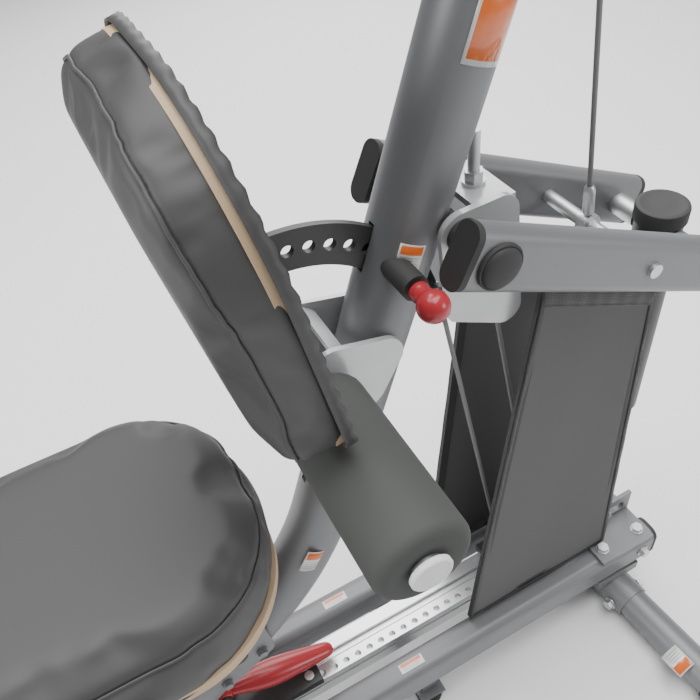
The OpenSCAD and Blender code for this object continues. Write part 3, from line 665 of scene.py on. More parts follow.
def seam_line(obj, width, depth, corners, inset, height, spacing=0.004):
    """Points on a cushion's surface under a panel outline at one height."""
    points = []
    for side_x, side_y in ((1, 1), (0, 1), (0, -1), (1, -1)):
        radius = corners[side_x] - inset
        centre = Vector(((depth - corners[1]) if side_x else corners[0],
                         side_y * (width / 2 - corners[side_x]), height))
        turn = {(1, 1): 0, (0, 1): 90, (0, -1): 180, (1, -1): 270}[(side_x, side_y)]
        for i in range(13):
            a = math.radians(turn + 90 * i / 12)
            points.append(centre + radius * Vector((math.cos(a), math.sin(a), 0)))
    dense = []
    for a, b in zip(points, points[1:] + points[:1]):
        steps = max(1, int((b - a).length / spacing))
        dense += [a.lerp(b, k / steps) for k in range(steps)]
    tree = BVHTree.FromPolygons([v.co for v in obj.data.vertices],
                                [p.vertices for p in obj.data.polygons])
    return [tree.find_nearest(p)[0] for p in dense]


def press_seam(obj, line, depth, width):
    """Pulls the cover in along a sewn line."""
    tree = KDTree(len(line))
    for i, p in enumerate(line):
        tree.insert(p, i)
    tree.balance()
    normals = [v.normal.copy() for v in obj.data.vertices]
    for vert, normal in zip(obj.data.vertices, normals):
        near = tree.find(vert.co)[2]
        if near < width:
            vert.co -= normal * depth * (1 - near / width) ** 2 * 1.0


def pad_place():
    lean = bpy.context.scene.row_cushions.pad_lean
    return Matrix.Translation(PIVOTS["pad_tilt"]) @ Matrix.Rotation(-lean, 4, "Y")


class ROW_OT_pad(bpy.types.Operator):
    """Stuffed upright pad with its sewn front seam and the gathered, stapled edge behind"""
    bl_idname = "row.pad"
    bl_label = "Upright Pad"

    def execute(self, context):
        size, _ = sizes()
        cut = size.shrink
        corners = (0.024, 0.118)
        up = pad_place() @ Matrix.Translation((0, 0, size.pad_start)) @ Matrix.Rotation(
            math.radians(-90), 4, "Y")
        pad = cut_panel("pad_cover", size.pad_width - 2 * cut, size.pad_height - 2 * cut,
                        corners, size.pad_thickness, 0.009)
        placed(pad, Matrix.Translation((cut, 0, 0)))
        fill_cover(pad, size.pad_thickness, size.swell, 0.0050, size.pad_crown)
        line = seam_line(pad, size.pad_width, size.pad_height, corners, 0.004,
                         size.pad_thickness - 0.0015)
        press_seam(pad, line, 0.0016, 0.007)
        welt = tube("pad_welt", line, size.welt / 2, 8, closed=True)
        gather = self.gather(size, corners)
        for piece in (pad, welt, gather):
            placed(piece, up)
            finish_piece(piece, "vinyl", "pad")
        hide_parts("back_pad")
        return {"FINISHED"}

    def gather(self, size, corners):
        """The cover's gathered edge, folded over the board and stapled in small puckers."""
        mesh = bmesh.new()
        rows, steps = 7, 260
        rings = []
        path = []
        for side_x, side_y in ((1, 1), (0, 1), (0, -1), (1, -1)):
            radius = corners[side_x]
            centre = Vector(((size.pad_height - corners[1]) if side_x else corners[0],
                             side_y * (size.pad_width / 2 - radius), 0))
            turn = {(1, 1): 0, (0, 1): 90, (0, -1): 180, (1, -1): 270}[(side_x, side_y)]
            for i in range(13):
                a = math.radians(turn + 90 * i / 12)
                path.append((centre + radius * Vector((math.cos(a), math.sin(a), 0)),
                             Vector((math.cos(a), math.sin(a), 0))))
        total, marks = 0.0, [0.0]
        for (a, _), (b, _) in zip(path, path[1:] + path[:1]):
            total += (b - a).length
            marks.append(total)
        for i in range(steps):
            at = total * i / steps
            k = max(j for j in range(len(path)) if marks[j] <= at + 1e-9)
            (a, na), (b, nb) = path[k], path[(k + 1) % len(path)]
            share = (at - marks[k]) / max(1e-9, marks[k + 1] - marks[k])
            point, normal = a.lerp(b, share), na.lerp(nb, share).normalized()
            pucker = 0.5 + 0.5 * math.sin(at * math.tau / 0.0165 + 0.9 * math.sin(at * 23))
            ring = []
            for row in range(rows):
                s = row / (rows - 1)
                fold = max(0.0, s - 0.35) / 0.65
                out = 0.0006 + 0.0008 * pucker * min(1.0, s / 0.35) - 0.024 * fold
                drop = 0.007 - 0.0085 * min(1.0, s / 0.35) - 0.0016 * pucker * min(1.0, s / 0.35)
                ring.append(mesh.verts.new(point + normal * out
                                           + Vector((0, 0, drop + 0.0010 * pucker * fold))))
            rings.append(ring)
        for i in range(steps):
            a, b = rings[i], rings[(i + 1) % steps]
            for row in range(rows - 1):
                mesh.faces.new((a[row], a[row + 1], b[row + 1], b[row])).smooth = True
        bmesh.ops.recalc_face_normals(mesh, faces=mesh.faces)
        data = bpy.data.meshes.new("pad_gather")
        mesh.to_mesh(data)
        mesh.free()
        obj = bpy.data.objects.new("pad_gather", data)
        bpy.context.scene.collection.objects.link(obj)
        thick = obj.modifiers.new("cloth", "SOLIDIFY")
        thick.thickness, thick.offset = 0.0012, -1
        apply_modifiers(obj)
        return obj


class ROW_OT_seat(bpy.types.Operator):
    """Stuffed seat cushion with a sewn welt round its top"""
    bl_idname = "row.seat"
    bl_label = "Seat Cushion"

    def execute(self, context):
        size, _ = sizes()
        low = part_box("seat_cushion")[0]
        cut = size.shrink
        corners = (0.060, 0.118)
        seat = cut_panel("seat_cover", size.seat_width - 2 * cut, size.seat_length - 2 * cut,
                         corners, size.seat_thickness - cut, 0.016)
        placed(seat, Matrix.Translation((cut, 0, 0)))
        fill_cover(seat, size.seat_thickness, size.swell, 0.0055, size.seat_crown)
        line = seam_line(seat, size.seat_width, size.seat_length, corners, 0.004,
                         size.seat_thickness - 0.015)
        press_seam(seat, line, 0.0018, 0.008)
        welt = tube("seat_welt", line, size.welt / 2, 8, closed=True)
        lower = tube("seat_hem", seam_line(seat, size.seat_width, size.seat_length, corners,
                                           0.002, 0.004), 0.0030, 8, closed=True)
        at = Matrix.Translation((low.x, 0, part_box("seat_board")[0].z))
        for piece in (seat, welt, lower):
            placed(piece, at)
            finish_piece(piece, "vinyl", "seat")
        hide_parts("seat_cushion")
        return {"FINISHED"}


# ---------------------------------------------------------------- rollers and grips
class ROW_OT_rollers(bpy.types.Operator):
    """Foam rollers with soft edges and their inset caps"""
    bl_idname = "row.rollers"
    bl_label = "Foam Rollers"

    def execute(self, context):
        _, soft = sizes()
        for name, body in (("left_roller", "left_roller"), ("right_roller", "right_roller")):
            low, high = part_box(name)
            centre, span = (low + high) / 2, high.y - low.y
            radius, edge, bore = (high.z - low.z) / 2, soft.roller_edge, 0.0129
            profile = [(bore, 0.0015), (bore + 0.006, 0.0004), (radius - edge - 0.004, 0.0)]
            profile += rounded(edge, -90, 0, (radius - edge, edge), 7)
            waves = [(0.25, 0.9990), (0.5, 0.9982), (0.75, 0.9991)]
            profile += [(radius * k, edge + (span - 2 * edge) * t) for t, k in waves]
            profile += rounded(edge, 0, 90, (radius - edge, span - edge), 7)
            profile += [(radius - edge - 0.004, span), (bore + 0.006, span - 0.0004),
                        (bore, span - 0.0015)]
            roller = turned(name + "_foam", profile, 72, loop=True)
            placed(roller, along_y((centre.x, low.y, centre.z), 1))
            smooth(roller, 50)
            finish_piece(roller, "foam", body, (name,))
        low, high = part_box("roller_end_caps")
        centre = (low + high) / 2
        rim = 0.0168
        profile = [(rim, -0.001), (rim, 0.0022), (rim - 0.0010, 0.0034), (rim - 0.0022, 0.0038),
                   (rim - 0.0038, 0.0036), (rim - 0.0046, 0.0030), (0.008, 0.0033), (0.001, 0.0034)]
        caps = []
        for side in (-1, 1):
            cap = turned("cap", profile, 56)
            caps.append(placed(cap, along_y((centre.x, side * (high.y - 0.0032), centre.z), side)))
        smooth(joined("roller_caps", caps), 40)
        finish_piece(caps[0], "grey_plastic", "base")
        return {"FINISHED"}


class ROW_OT_grips(bpy.types.Operator):
    """Ribbed rubber hand grips on the row bar"""
    bl_idname = "row.grips"
    bl_label = "Hand Grips"

    def execute(self, context):
        _, soft = sizes()
        low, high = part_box("bar_grips")
        centre = (low + high) / 2
        radius, bore, inner = (high.z - low.z) / 2, 0.0126, 0.075
        span = high.y - inner
        pitch = (span - 0.016) / soft.grip_ribs
        profile = [(bore, 0.0), (radius - 0.0025, 0.0), (radius - 0.0006, 0.0012), (radius, 0.0035),
                   (radius, 0.0060)]
        for i in range(soft.grip_ribs):
            start = 0.008 + i * pitch
            profile += [(radius - 0.0018, start), (radius - 0.0020, start + 0.25 * pitch),
                        (radius - 0.0004, start + 0.45 * pitch), (radius - 0.0004, start + 0.85 * pitch)]
        profile += [(radius, span - 0.006), (radius, span - 0.003), (radius - 0.002, span), (bore, span)]
        grips = []
        for side in (-1, 1):
            grip = turned("grip", profile, 40, loop=True)
            grips.append(placed(grip, along_y((centre.x, side * inner, centre.z), side)))
        smooth(joined("hand_grips", grips), 40)
        finish_piece(grips[0], "rubber", "bar", ("bar_grips",))
        return {"FINISHED"}


# ---------------------------------------------------------------- knobs, lever and caps
class ROW_OT_knobs(bpy.types.Operator):
    """Turned pull knobs of the pad and of the seat"""
    bl_idname = "row.knobs"
    bl_label = "Pull Knobs"

    def execute(self, context):
        low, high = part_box("pad_pin")
        ball = (high.z - low.z) / 2
        centre = (low + high) / 2
        pin = 0.0045
        shaft = high.y - low.y - 2 * ball
        profile = [(pin - 0.001, 0.0), (pin, 0.001), (pin, shaft - 0.003)]
        steel = placed(turned("pad_pin_shaft", profile, 32),
                       along_y((centre.x, high.y, centre.z), -1))
        smooth(steel, 40)
        finish_piece(steel, "zinc", "pad_pin")
        knob = [(0.0085, shaft - 0.009), (0.0090, shaft - 0.0085), (0.0088, shaft - 0.004)]
        middle = shaft + ball
        knob += [(ball * math.cos(a), middle + ball * math.sin(a)) for a in
                 (math.radians(-52 + 136 * i / 15) for i in range(16))]
        red = placed(turned("pad_pin_knob", knob, 56), along_y((centre.x, high.y, centre.z), -1))
        smooth(red, 60)
        finish_piece(red, "red_plastic", "pad_pin", ("pad_pin",))

        low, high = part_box("seat_pin")
        centre, radius = (low + high) / 2, (high.z - low.z) / 2
        span = high.y - low.y
        start = span - 0.021
        profile = [(pin - 0.001, 0.0), (pin, 0.001), (pin, start), (0.0085, start), (radius - 0.003, start)]
        profile += [(radius - 0.001, start + 0.002), (radius, start + 0.005), (radius, span - 0.006),
                    (radius - 0.0012, span - 0.0025), (radius - 0.004, span - 0.0008), (0.002, span)]
        knob = turned("seat_pin_knob", profile, 48)
        for vert in knob.data.vertices:
            out = Vector((vert.co.x, vert.co.y))
            if out.length > radius * 0.97:
                notch = 0.5 + 0.5 * math.cos(8 * math.atan2(out.y, out.x))
                vert.co.x *= 1 - 0.09 * notch ** 3
                vert.co.y *= 1 - 0.09 * notch ** 3
        placed(knob, along_y((centre.x, high.y, centre.z), -1))
        smooth(knob, 45)
        finish_piece(knob, "black_plastic", "seat_pin", ("seat_pin",))
        return {"FINISHED"}


class ROW_OT_lever(bpy.types.Operator):
    """Curved red lever of the track's lock, on its hub"""
    bl_idname = "row.lever"
    bl_label = "Lock Lever"

    def execute(self, context):
        hub = PIVOTS["lock_lever_lift"]
        # distance along the lever, half height, half width, drop of the middle line
        shape = [(0.000, 0.0086, 0.0088, 0.000), (0.018, 0.0100, 0.0104, -0.004),
                 (0.040, 0.0142, 0.0160, -0.011), (0.062, 0.0166, 0.0190, -0.018),
                 (0.084, 0.0158, 0.0180, -0.024), (0.108, 0.0132, 0.0152, -0.031),
                 (0.128, 0.0112, 0.0130, -0.037), (0.146, 0.0092, 0.0108, -0.0415),
                 (0.1515, 0.0066, 0.0078, -0.0425), (0.1540, 0.0030, 0.0036, -0.0428)]
        deselect()
        _, tall, wide, _ = shape[0]
        bpy.ops.mesh.primitive_circle_add(vertices=24, radius=1, fill_type="NGON", location=(0, 0, 0))
        lever = bpy.context.object
        bpy.ops.object.mode_set(mode="EDIT")
        bpy.ops.mesh.select_all(action="SELECT")
        bpy.ops.transform.resize(value=(tall, wide, 1))
        at, sink = 0.0, 0.0
        for along, next_tall, next_wide, drop in shape[1:]:
            bpy.ops.mesh.extrude_edges_move(
                TRANSFORM_OT_translate={"value": (-(drop - sink), 0, along - at)})
            bpy.ops.transform.resize(value=(next_tall / tall, next_wide / wide, 1))
            at, sink, tall, wide = along, drop, next_tall, next_wide
        bpy.ops.mesh.edge_face_add()
        bpy.ops.object.mode_set(mode="OBJECT")
        added("lock_lever_grip")
        tidy_shell(lever)
        placed(lever, Matrix.Translation(hub) @ Matrix.Rotation(math.radians(90), 4, "Y"))
        barrel = turned("hub", [(0.0051, -0.0124), (0.0108, -0.0124), (0.0120, -0.0112),
                                (0.0120, 0.0112), (0.0108, 0.0124), (0.0051, 0.0124)], 48, loop=True)
        placed(barrel, along_y(hub, -1))
        lever = joined("lock_lever_grip", [lever, barrel])
        finer = lever.modifiers.new("finer", "SUBSURF")
        finer.levels = finer.render_levels = 1
        apply_modifiers(lever)
        smooth(lever, 60)
        finish_piece(lever, "red_plastic", "lock_lever", ("lock_lever",))
        return {"FINISHED"}


class ROW_OT_caps(bpy.types.Operator):
    """Domed pivot caps on the arms and the damper's top cap"""
    bl_idname = "row.caps"
    bl_label = "Pivot Caps"

    def execute(self, context):
        pivot = PIVOTS["arms_lift"]
        low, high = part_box("arm_shaft")
        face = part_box("right_arm")[1].y
        rise = high.y - face
        profile = [(0.0205, 0.0002), (0.0205, 0.0022), (0.0198, 0.0032), (0.0188, 0.0035),
                   (0.0181, 0.0030), (0.0175, 0.0045)]
        dome = 0.0172
        profile += [(dome * math.cos(a), 0.0045 + (rise - 0.0039) * math.sin(a)) for a in
                    (math.radians(8 + 79 * i / 8) for i in range(9))]
        caps = []
        for side in (-1, 1):
            cap = turned("cap", profile, 56)
            caps.append(placed(cap, along_y((pivot.x, side * face, pivot.z), side)))
        smooth(joined("arm_pivot_caps", caps), 35)
        finish_piece(caps[0], "black_plastic", "base")

        low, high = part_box("damper_tube")
        centre, radius = (low + high) / 2, (high.x - low.x) / 2
        top = high.z - 0.016
        profile = [(radius - 0.0012, top), (radius + 0.0010, top), (radius + 0.0012, top + 0.0140),
                   (radius + 0.0004, top + 0.0160), (radius - 0.0012, top + 0.0170),
                   (radius - 0.004, top + 0.0172), (radius - 0.0052, top + 0.0166),
                   (0.012, top + 0.0164), (0.001, top + 0.0164)]
        cap = placed(turned("damper_cap", profile, 72), Matrix.Translation((centre.x, 0, 0)))
        smooth(cap, 35)
        finish_piece(cap, "black_plastic", "damper_tube")
        return {"FINISHED"}


# ---------------------------------------------------------------- shroud
def cloth_panel(name, corners, across, down, sag, inward):
    """A stretched panel between four corners, eased inwards in its middle, with UVs in metres."""
    a, b, c, d = (Vector(p) for p in corners)
    wide, tall = (b - a).length, (d - a).length
    deselect()
    bpy.ops.mesh.primitive_grid_add(x_subdivisions=across, y_subdivisions=down, size=2)
    obj = added(name)
    layer = obj.data.uv_layers.new(name="cloth")
    flat = {}
    for vert in obj.data.vertices:
        s, t = (vert.co.x + 1) / 2, (vert.co.y + 1) / 2
        flat[vert.index] = (s * wide, t * tall)
        point = a.lerp(b, s).lerp(d.lerp(c, s), t)
        ease = math.sin(math.pi * s) * math.sin(math.pi * t)
        ripple = 0.0006 * math.sin(9 * s + 4 * t) * math.sin(math.pi * s)
        vert.co = point + Vector((0, inward * (sag * ease + ripple), 0))
    for loop in obj.data.loops:
        layer.data[loop.index].uv = flat[loop.vertex_index]
    for polygon in obj.data.polygons:
        polygon.use_smooth = True
    return obj


class ROW_OT_shroud(bpy.types.Operator):
    """See-through woven panels on both sides of the damper, with sewn hems"""
    bl_idname = "row.shroud"
    bl_label = "Mesh Shroud"

    def execute(self, context):
        _, soft = sizes()
        low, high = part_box("shroud_frame")
        record = {n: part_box(n) for n in ("shroud_frame", "shroud_mesh")}
        span = record["shroud_frame"][1].x - record["shroud_frame"][0].x
        # corners of a side: top front, top rear, bottom rear, bottom front
        top_front = (low.x + 0.275 * span, high.z)
        top_rear = (low.x + 0.8833 * span, high.z - 0.070)
        low_rear, low_front = (high.x, low.z), (low.x, low.z)
        outline = [top_front, top_rear, low_rear, low_front]
        middle = Vector((sum(p[0] for p in outline) / 4, sum(p[1] for p in outline) / 4))
        for side, label in ((-1, "near"), (1, "far")):
            y = side * (high.y + 0.0005)
            corners = [Vector((x, y, z)) for x, z in outline]
            panel = cloth_panel(f"shroud_cloth_{label}", corners, 40, 60, 0.0045, -side)
            if side < 0:
                for polygon in panel.data.polygons:
                    polygon.flip()
            edge = soft.hem_width
            # top, rear, bottom and front; the far side's front band is the wide one
            widths = (1.4 * edge, 0.35 * edge, 0.35 * edge, (0.35 if side < 0 else 2.0) * edge)
            hem = self.hem(f"shroud_hem_{label}", outline, middle, side, high.y, widths)
            finish_piece(panel, "mesh", "base", ("shroud_mesh",) if side < 0 else ())
            finish_piece(hem, "hem_cloth", "base")
        return {"FINISHED"}

    def hem(self, name, outline, middle, side, y, widths):
        """A band of folded cloth round the panel, two stitched lines pressed into it."""
        mesh = bmesh.new()
        layer = mesh.loops.layers.uv.new("cloth")
        outer = [Vector(p) for p in outline]
        inner = []
        for i, p in enumerate(outer):
            before, after = outer[i - 1], outer[(i + 1) % 4]
            e1, e2 = (p - before).normalized(), (after - p).normalized()
            n1, n2 = Vector((-e1.y, e1.x)), Vector((-e2.y, e2.x))
            if (middle - p).dot(n1) < 0:
                n1, n2 = -n1, -n2
            cross = n1.x * n2.y - n1.y * n2.x
            w1, w2 = widths[i - 1], widths[i]
            inner.append(p + Vector((w1 * n2.y - w2 * n1.y, w2 * n1.x - w1 * n2.x)) / cross)
        rows = [(0.0, 0.0004), (0.03, 0.0011), (0.10, 0.0012), (0.15, 0.0008), (0.20, 0.0012),
                (0.80, 0.0012), (0.85, 0.0008), (0.90, 0.0012), (0.97, 0.0010), (1.0, 0.0004)]
        for i in range(4):
            j = (i + 1) % 4
            steps = 48
            grid = []
            for s in range(steps + 1):
                t = s / steps
                a, b = outer[i].lerp(outer[j], t), inner[i].lerp(inner[j], t)
                ripple = 0.00025 * math.sin(46 * t + 3 * i)
                grid.append([mesh.verts.new((a.lerp(b, r)[0], side * (y + 0.0006 + h + ripple),
                                             a.lerp(b, r)[1])) for r, h in rows])
            run = (outer[j] - outer[i]).length / steps
            for s in range(steps):
                for r in range(len(rows) - 1):
                    face = mesh.faces.new((grid[s][r], grid[s][r + 1], grid[s + 1][r + 1],
                                           grid[s + 1][r]))
                    face.smooth = True
                    for loop, (u, v) in zip(face.loops, ((s, r), (s, r + 1), (s + 1, r + 1), (s + 1, r))):
                        loop[layer].uv = (u * run, rows[v][0] * widths[i])
        bmesh.ops.remove_doubles(mesh, verts=mesh.verts, dist=1e-6)
        data = bpy.data.meshes.new(name)
        mesh.to_mesh(data)
        mesh.free()
        obj = bpy.data.objects.new(name, data)
        bpy.context.scene.collection.objects.link(obj)
        outward = sum(p.normal.y * p.area for p in data.polygons)
        if outward * side < 0:
            data.flip_normals()
        return obj


# ---------------------------------------------------------------- cables
class ROW_OT_cables(bpy.types.Operator):
    """Coated wire cables: the riser to the top pulley, and the loop round the lower one"""
    bl_idname = "row.cables"
    bl_label = "Cables"

    def execute(self, context):
        _, soft = sizes()
        radius = soft.cable_size / 2 - 0.0001
        low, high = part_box("riser_cable")
        wheel = (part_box("top_pulley")[0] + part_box("top_pulley")[1]) / 2
        groove = high.z - soft.cable_size / 2 - wheel.z
        foot = Vector((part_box("cable_pin")[0].x + 0.0103, 0, low.z))
        foot = Vector((high.x - soft.cable_size / 2, 0, low.z + 0.001))
        path = self.wrap(foot, wheel, groove, 1, 90)
        riser = tube("riser_wire", path, radius, 14)
        finish_piece(riser, "cable", "base", ("riser_cable",))
        riser.parent = None
        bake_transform(riser)
        clevis = turned("riser_eye", [(0.0030, 0.000), (0.0052, 0.0008), (0.0056, 0.004), (0.0056, 0.026),
                                      (0.0046, 0.030), (0.0030, 0.032)], 28, loop=True)
        tilt = (path[1] - foot).to_track_quat("Z", "Y").to_matrix().to_4x4()
        placed(clevis, Matrix.Translation(foot) @ tilt)
        smooth(clevis, 40)
        finish_piece(clevis, "zinc", "arms")

        wheel = (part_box("lower_pulley")[0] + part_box("lower_pulley")[1]) / 2
        low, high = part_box("lower_cable")
        groove = wheel.z - low.z - soft.cable_size / 2
        left, right = Vector((low.x + 0.010, wheel.y, high.z - 0.017)), None
        right = Vector((left.x + 0.058, wheel.y, left.z - 0.022))
        first = self.touch(left, wheel, groove, 1)
        last = self.touch(right, wheel, groove, -1)
        a = math.atan2(first.z - wheel.z, first.x - wheel.x)
        b = math.atan2(last.z - wheel.z, last.x - wheel.x)
        turn = (b - a) % math.tau
        arc = [wheel + groove * Vector((math.cos(a + turn * i / 40), 0, math.sin(a + turn * i / 40)))
               for i in range(41)]
        runs = [left.lerp(first, i / 30) for i in range(30)]
        back = [last.lerp(right, i / 30) for i in range(1, 31)]
        loop = tube("lower_wire", runs + arc + back, radius, 14)
        finish_piece(loop, "cable", "base", ("lower_cable",))
        loop.parent = None
        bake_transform(loop)
        eyes = []
        for at in (left, right):
            eye = turned("eye", [(0.0052, -0.004), (0.0088, -0.004), (0.0092, -0.0034), (0.0092, 0.0034),
                                 (0.0088, 0.004), (0.0052, 0.004)], 36, loop=True)
            eyes.append(placed(eye, along_y((at.x - 0.001, at.y, at.z + 0.008), -1)))
            ferrule = turned("ferrule", [(0.0026, 0.0), (0.0044, 0.0006), (0.0046, 0.003), (0.0046, 0.021),
                                         (0.0040, 0.024), (0.0026, 0.0246)], 28, loop=True)
            direction = ((first if at is left else last) - at).to_track_quat("Z", "Y")
            eyes.append(placed(ferrule, Matrix.Translation(at) @ direction.to_matrix().to_4x4()))
        smooth(joined("lower_wire_eyes", eyes), 40)
        finish_piece(eyes[0], "zinc", "base")
        return {"FINISHED"}

    def touch(self, point, wheel, radius, side):
        away = point - wheel
        base = math.atan2(away.z, away.x)
        turn = base + side * math.acos(radius / away.length)
        return wheel + radius * Vector((math.cos(turn), 0, math.sin(turn)))

    def wrap(self, foot, wheel, radius, side, stop):
        """Straight from the foot to the wheel, then round it."""
        away = foot - wheel
        turn = math.atan2(away.z, away.x) + side * math.acos(radius / away.length)
        enter = wheel + radius * Vector((math.cos(turn), 0, math.sin(turn)))
        straight = [foot.lerp(enter, i / 60) for i in range(60)]
        end = math.radians(stop)
        arc = [wheel + radius * Vector((math.cos(turn + (end - turn) * i / 24), 0,
                                        math.sin(turn + (end - turn) * i / 24))) for i in range(25)]
        return straight + arc


# ---------------------------------------------------------------- labels
def wrapped_label(name, centre, axis, facing, radius, width, height, bands_slot):
    """A thin printed label laid round a tube: centre on the axis, facing the given way."""
    axis, facing = Vector(axis).normalized(), Vector(facing)
    facing = (facing - axis * facing.dot(axis)).normalized()
    side = axis.cross(facing)
    half = width / 2 / radius
    mesh = bmesh.new()
    layer = mesh.loops.layers.uv.new("label")
    grid = []
    for i in range(17):
        angle = -half + 2 * half * i / 16
        out = facing * math.cos(angle) + side * math.sin(angle)
        grid.append([mesh.verts.new(Vector(centre) + axis * (height * (j / 2 - 0.5)) + out * radius)
                     for j in range(3)])
    for i in range(16):
        for j in range(2):
            face = mesh.faces.new((grid[i][j], grid[i + 1][j], grid[i + 1][j + 1], grid[i][j + 1]))
            face.smooth = True
            for loop, (u, v) in zip(face.loops, ((i, j), (i + 1, j), (i + 1, j + 1), (i, j + 1))):
                loop[layer].uv = (u / 16, v / 2)
    return label_from(mesh, name, bands_slot)


def flat_label(name, centre, along, up, width, height, slot):
    along, up = Vector(along).normalized(), Vector(up).normalized()
    mesh = bmesh.new()
    layer = mesh.loops.layers.uv.new("label")
    spots = ((0, 0), (1, 0), (1, 1), (0, 1))
    face = mesh.faces.new([mesh.verts.new(Vector(centre) + along * width * (u - 0.5)
                                          + up * height * (v - 0.5)) for u, v in spots])
    for loop, uv in zip(face.loops, spots):
        loop[layer].uv = uv
    return label_from(mesh, name, slot)


def label_from(mesh, name, slot):
    data = bpy.data.meshes.new(name)
    mesh.to_mesh(data)
    mesh.free()
    obj = bpy.data.objects.new(name, data)
    bpy.context.scene.collection.objects.link(obj)
    thick = obj.modifiers.new("film", "SOLIDIFY")
    thick.thickness, thick.offset = 0.0003, 1
    apply_modifiers(obj)
    finish_piece(obj, slot, "base")
    return obj


class ROW_OT_labels(bpy.types.Operator):
    """Plain printed labels without lettering"""
    bl_idname = "row.labels"
    bl_label = "Plain Labels"

    def execute(self, context):
        lean = math.radians(20.8)
        axis = Vector((math.sin(lean), 0, math.cos(lean)))
        on_mast = Vector((0.2515, 0, 0.818))
        radius = 0.0319
        wrapped_label("mast_label", on_mast + axis * 0.148, axis, (0.12, -1.0, 0.1), radius, 0.036,
                      0.066, "label_tall")
        wrapped_label("mast_small_label", on_mast - axis * 0.034, axis, (-0.30, -1.0, 0.0), radius,
                      0.022, 0.022, "label_small")
        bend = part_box("mast_bend")
        leg = Vector((0.5355, -0.205, 0.0282))
        splay = math.radians(4.7)
        leg_axis = Vector((math.sin(splay), -math.cos(splay), 0))
        wrapped_label("leg_label", leg + leg_axis * 0.02, leg_axis, (-0.45, 0, 1.0), 0.0246, 0.030,
                      0.034, "label_small")
        middle = (bend[0] + bend[1]) / 2
        wrapped_label("bend_label", (middle.x + 0.012, 0, middle.z + 0.03),
                      (math.sin(math.radians(31)), 0, math.cos(math.radians(31))),
                      (0.1, -1.0, 0.15), 0.0322, 0.026, 0.030, "label_small")
        for name, side in (("rail_label_near", -1), ("rail_label_far", 1)):
            low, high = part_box("left_rail" if side < 0 else "right_rail")
            y = (low.y + high.y) / 2
            flat_label(name, (0.18 if side < 0 else 0.13, y, high.z + 0.0001), (1, 0, 0), (0, 1, 0),
                       0.036, 0.013, "label_small")
        return {"FINISHED"}


# ---------------------------------------------------------------- finishes
class ROW_OT_finishes(bpy.types.Operator):
    """Builds the finishes and gives each carried-over piece its own"""
    bl_idname = "row.finishes"
    bl_label = "Finishes"

    def execute(self, context):
        tone = context.scene.row_finishes
        _, soft = sizes()
        worn = 1.0 if tone.worn else 0.0
        build_effects()
        enamel("frame_paint", tone.paint, 0.22, worn)
        enamel("black_paint", tone.black_paint, 0.20, worn, 0.1)
        # pale grey enamel for the arm and hub brackets: a painted reflection of the white studio light on their
        # glossy dark plates
        enamel("pale_paint", (0.55, 0.56, 0.57, 1), 0.20, worn, 0.3)
        moulded("black_plastic", tone.plastic, 0.42, worn)
        moulded("grey_plastic", tone.cap, 0.48, worn, 1100.0)
        moulded("red_plastic", tone.red, 0.20, worn, 260.0, 0.8, 0.05)
        moulded("rubber", tone.rubber, 0.66, worn, 1400.0, 0.0, 0.5)
        plated("track_alu", tone.alloy, 0.34, worn)
        plated("zinc", tone.zinc, 0.32, worn, (20.0, 20.0, 20.0), 30.0)
        plated("chrome", tone.chrome, 0.10, worn, (30.0, 2.0, 2.0), 30.0)
        upholstery("vinyl", tone.vinyl)
        cellular("foam", tone.foam)
        plywood("plywood", tone.wood)
        stranded("cable", tone.cable)
        woven("mesh", tone.mesh, soft.mesh_pitch, 0.05)
        woven("hem_cloth", shade(tone.mesh, 0.6), soft.mesh_pitch, 1.0)
        printed("label_tall", tone.label, 0.94)
        printed("label_small", tone.label, 0.42)
        # the arm and hub brackets take the pale grey painted reflection
        own = {"arm_shaft": "black_plastic", "arm_bracket": "pale_paint", "damper_tube": "black_paint",
               "hub_bracket": "pale_paint", "shroud_frame": "black_plastic", "tension_stud": "zinc"}
        for name, node in frame["nodes"].items():
            node.data.materials.clear()
            node.data.materials.append(bpy.data.materials[own.get(name, SLOTS[name])])
        return {"FINISHED"}


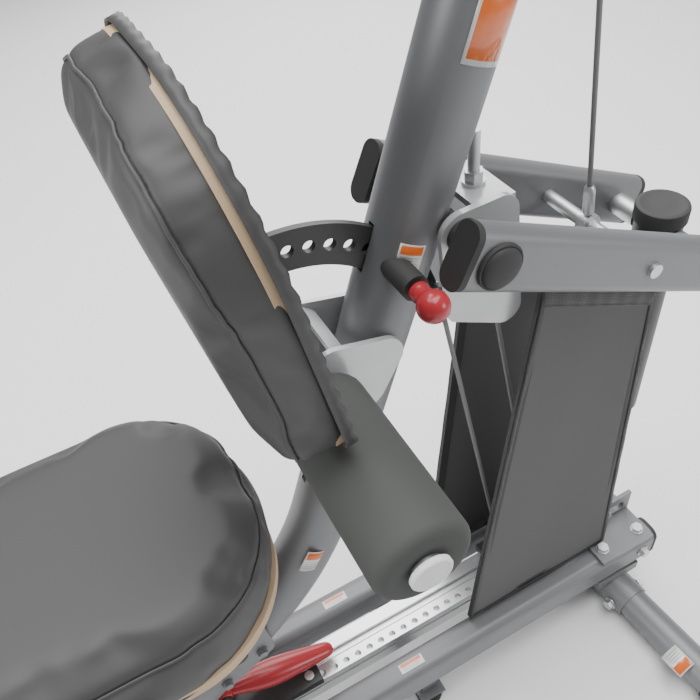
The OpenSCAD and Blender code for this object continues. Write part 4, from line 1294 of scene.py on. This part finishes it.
# ---------------------------------------------------------------- stage
class ROW_OT_stage(bpy.types.Operator):
    """Pale floor, soft studio lights and the camera"""
    bl_idname = "row.stage"
    bl_label = "Stage"

    def execute(self, context):
        deselect()
        bpy.ops.mesh.primitive_plane_add(size=14, location=(0, 0, 0))
        floor = added("floor")
        material = bpy.data.materials.new("floor")
        material.use_nodes = True
        shader = material.node_tree.nodes["Principled BSDF"]
        shader.inputs["Base Color"].default_value = (0.88, 0.88, 0.88, 1)
        shader.inputs["Roughness"].default_value = 0.8
        floor.data.materials.append(material)

        world = context.scene.world or bpy.data.worlds.new("studio")
        context.scene.world = world
        world.use_nodes = True
        w = Wiring(world.node_tree)
        seen = world.node_tree.nodes["Background"]
        seen.inputs["Color"].default_value = (1, 1, 1, 1)
        # the backdrop looks pale to the camera and lights the scene only faintly
        w.join(w.ramp(w.node("LightPath").outputs["Is Camera Ray"], 0, 1, 0.16, 1.1),
               seen.inputs["Strength"])
        lights = (("top", (0.4, 0.3, 3.6), (0, 0, 0.2), 3.2, 240),
                  ("left", (-3.0, 0.2, 2.0), (0, 0, 0.6), 1.6, 70),
                  ("right", (2.6, -2.4, 1.6), (0.3, 0, 0.6), 1.2, 35),
                  ("rear", (1.6, 3.0, 2.0), (0.1, 0, 0.6), 2.2, 80))
        for name, place, aim, size, power in lights:
            bpy.ops.object.light_add(type="AREA", location=place)
            light = context.object
            light.name = name
            light.data.size, light.data.energy = size, power
            light.rotation_euler = (Vector(place) - Vector(aim)).to_track_quat("Z", "Y").to_euler()

        right = Vector((0.88043, -0.46380, -0.09869)).normalized()
        up = Vector((0.39115, 0.59269, 0.70408))
        up = (up - right * up.dot(right)).normalized()
        back = right.cross(up)
        bpy.ops.object.camera_add()
        camera = context.object
        camera.matrix_world = Matrix.Translation((0.0075, -0.4285, 1.1448)) @ Matrix(
            (right, up, back)).transposed().to_4x4()
        camera.data.lens, camera.data.sensor_width = 37.24, 36.0
        camera.data.clip_start = 0.02
        context.scene.camera = camera
        return {"FINISHED"}


class ROW_PT_panel(bpy.types.Panel):
    bl_label = "Cable Row"
    bl_idname = "ROW_PT_panel"
    bl_space_type = "VIEW_3D"
    bl_region_type = "UI"
    bl_category = "Cable Row"

    def draw(self, context):
        for step in STEPS:
            self.layout.operator(step.bl_idname)
        for group in ("row_cushions", "row_soft", "row_finishes"):
            settings = getattr(context.scene, group)
            box = self.layout.box()
            for key in settings.bl_rna.properties.keys():
                if key not in ("rna_type", "name"):
                    box.prop(settings, key)


STEPS = (ROW_OT_finishes, ROW_OT_pad, ROW_OT_seat, ROW_OT_rollers, ROW_OT_grips, ROW_OT_knobs,
         ROW_OT_lever, ROW_OT_caps, ROW_OT_shroud, ROW_OT_cables, ROW_OT_labels, ROW_OT_stage)
CLASSES = (CushionSizes, SoftSizes, Finishes, *STEPS, ROW_PT_panel)


def register():
    for item in CLASSES:
        bpy.utils.register_class(item)
    bpy.types.Scene.row_cushions = PointerProperty(type=CushionSizes)
    bpy.types.Scene.row_soft = PointerProperty(type=SoftSizes)
    bpy.types.Scene.row_finishes = PointerProperty(type=Finishes)


def unregister():
    for name in ("row_cushions", "row_soft", "row_finishes"):
        delattr(bpy.types.Scene, name)
    for item in reversed(CLASSES):
        bpy.utils.unregister_class(item)


def main():
    register()
    for step in STEPS:
        getattr(bpy.ops.row, step.bl_idname.split(".")[1])()


if __name__ == "__main__":
    main()
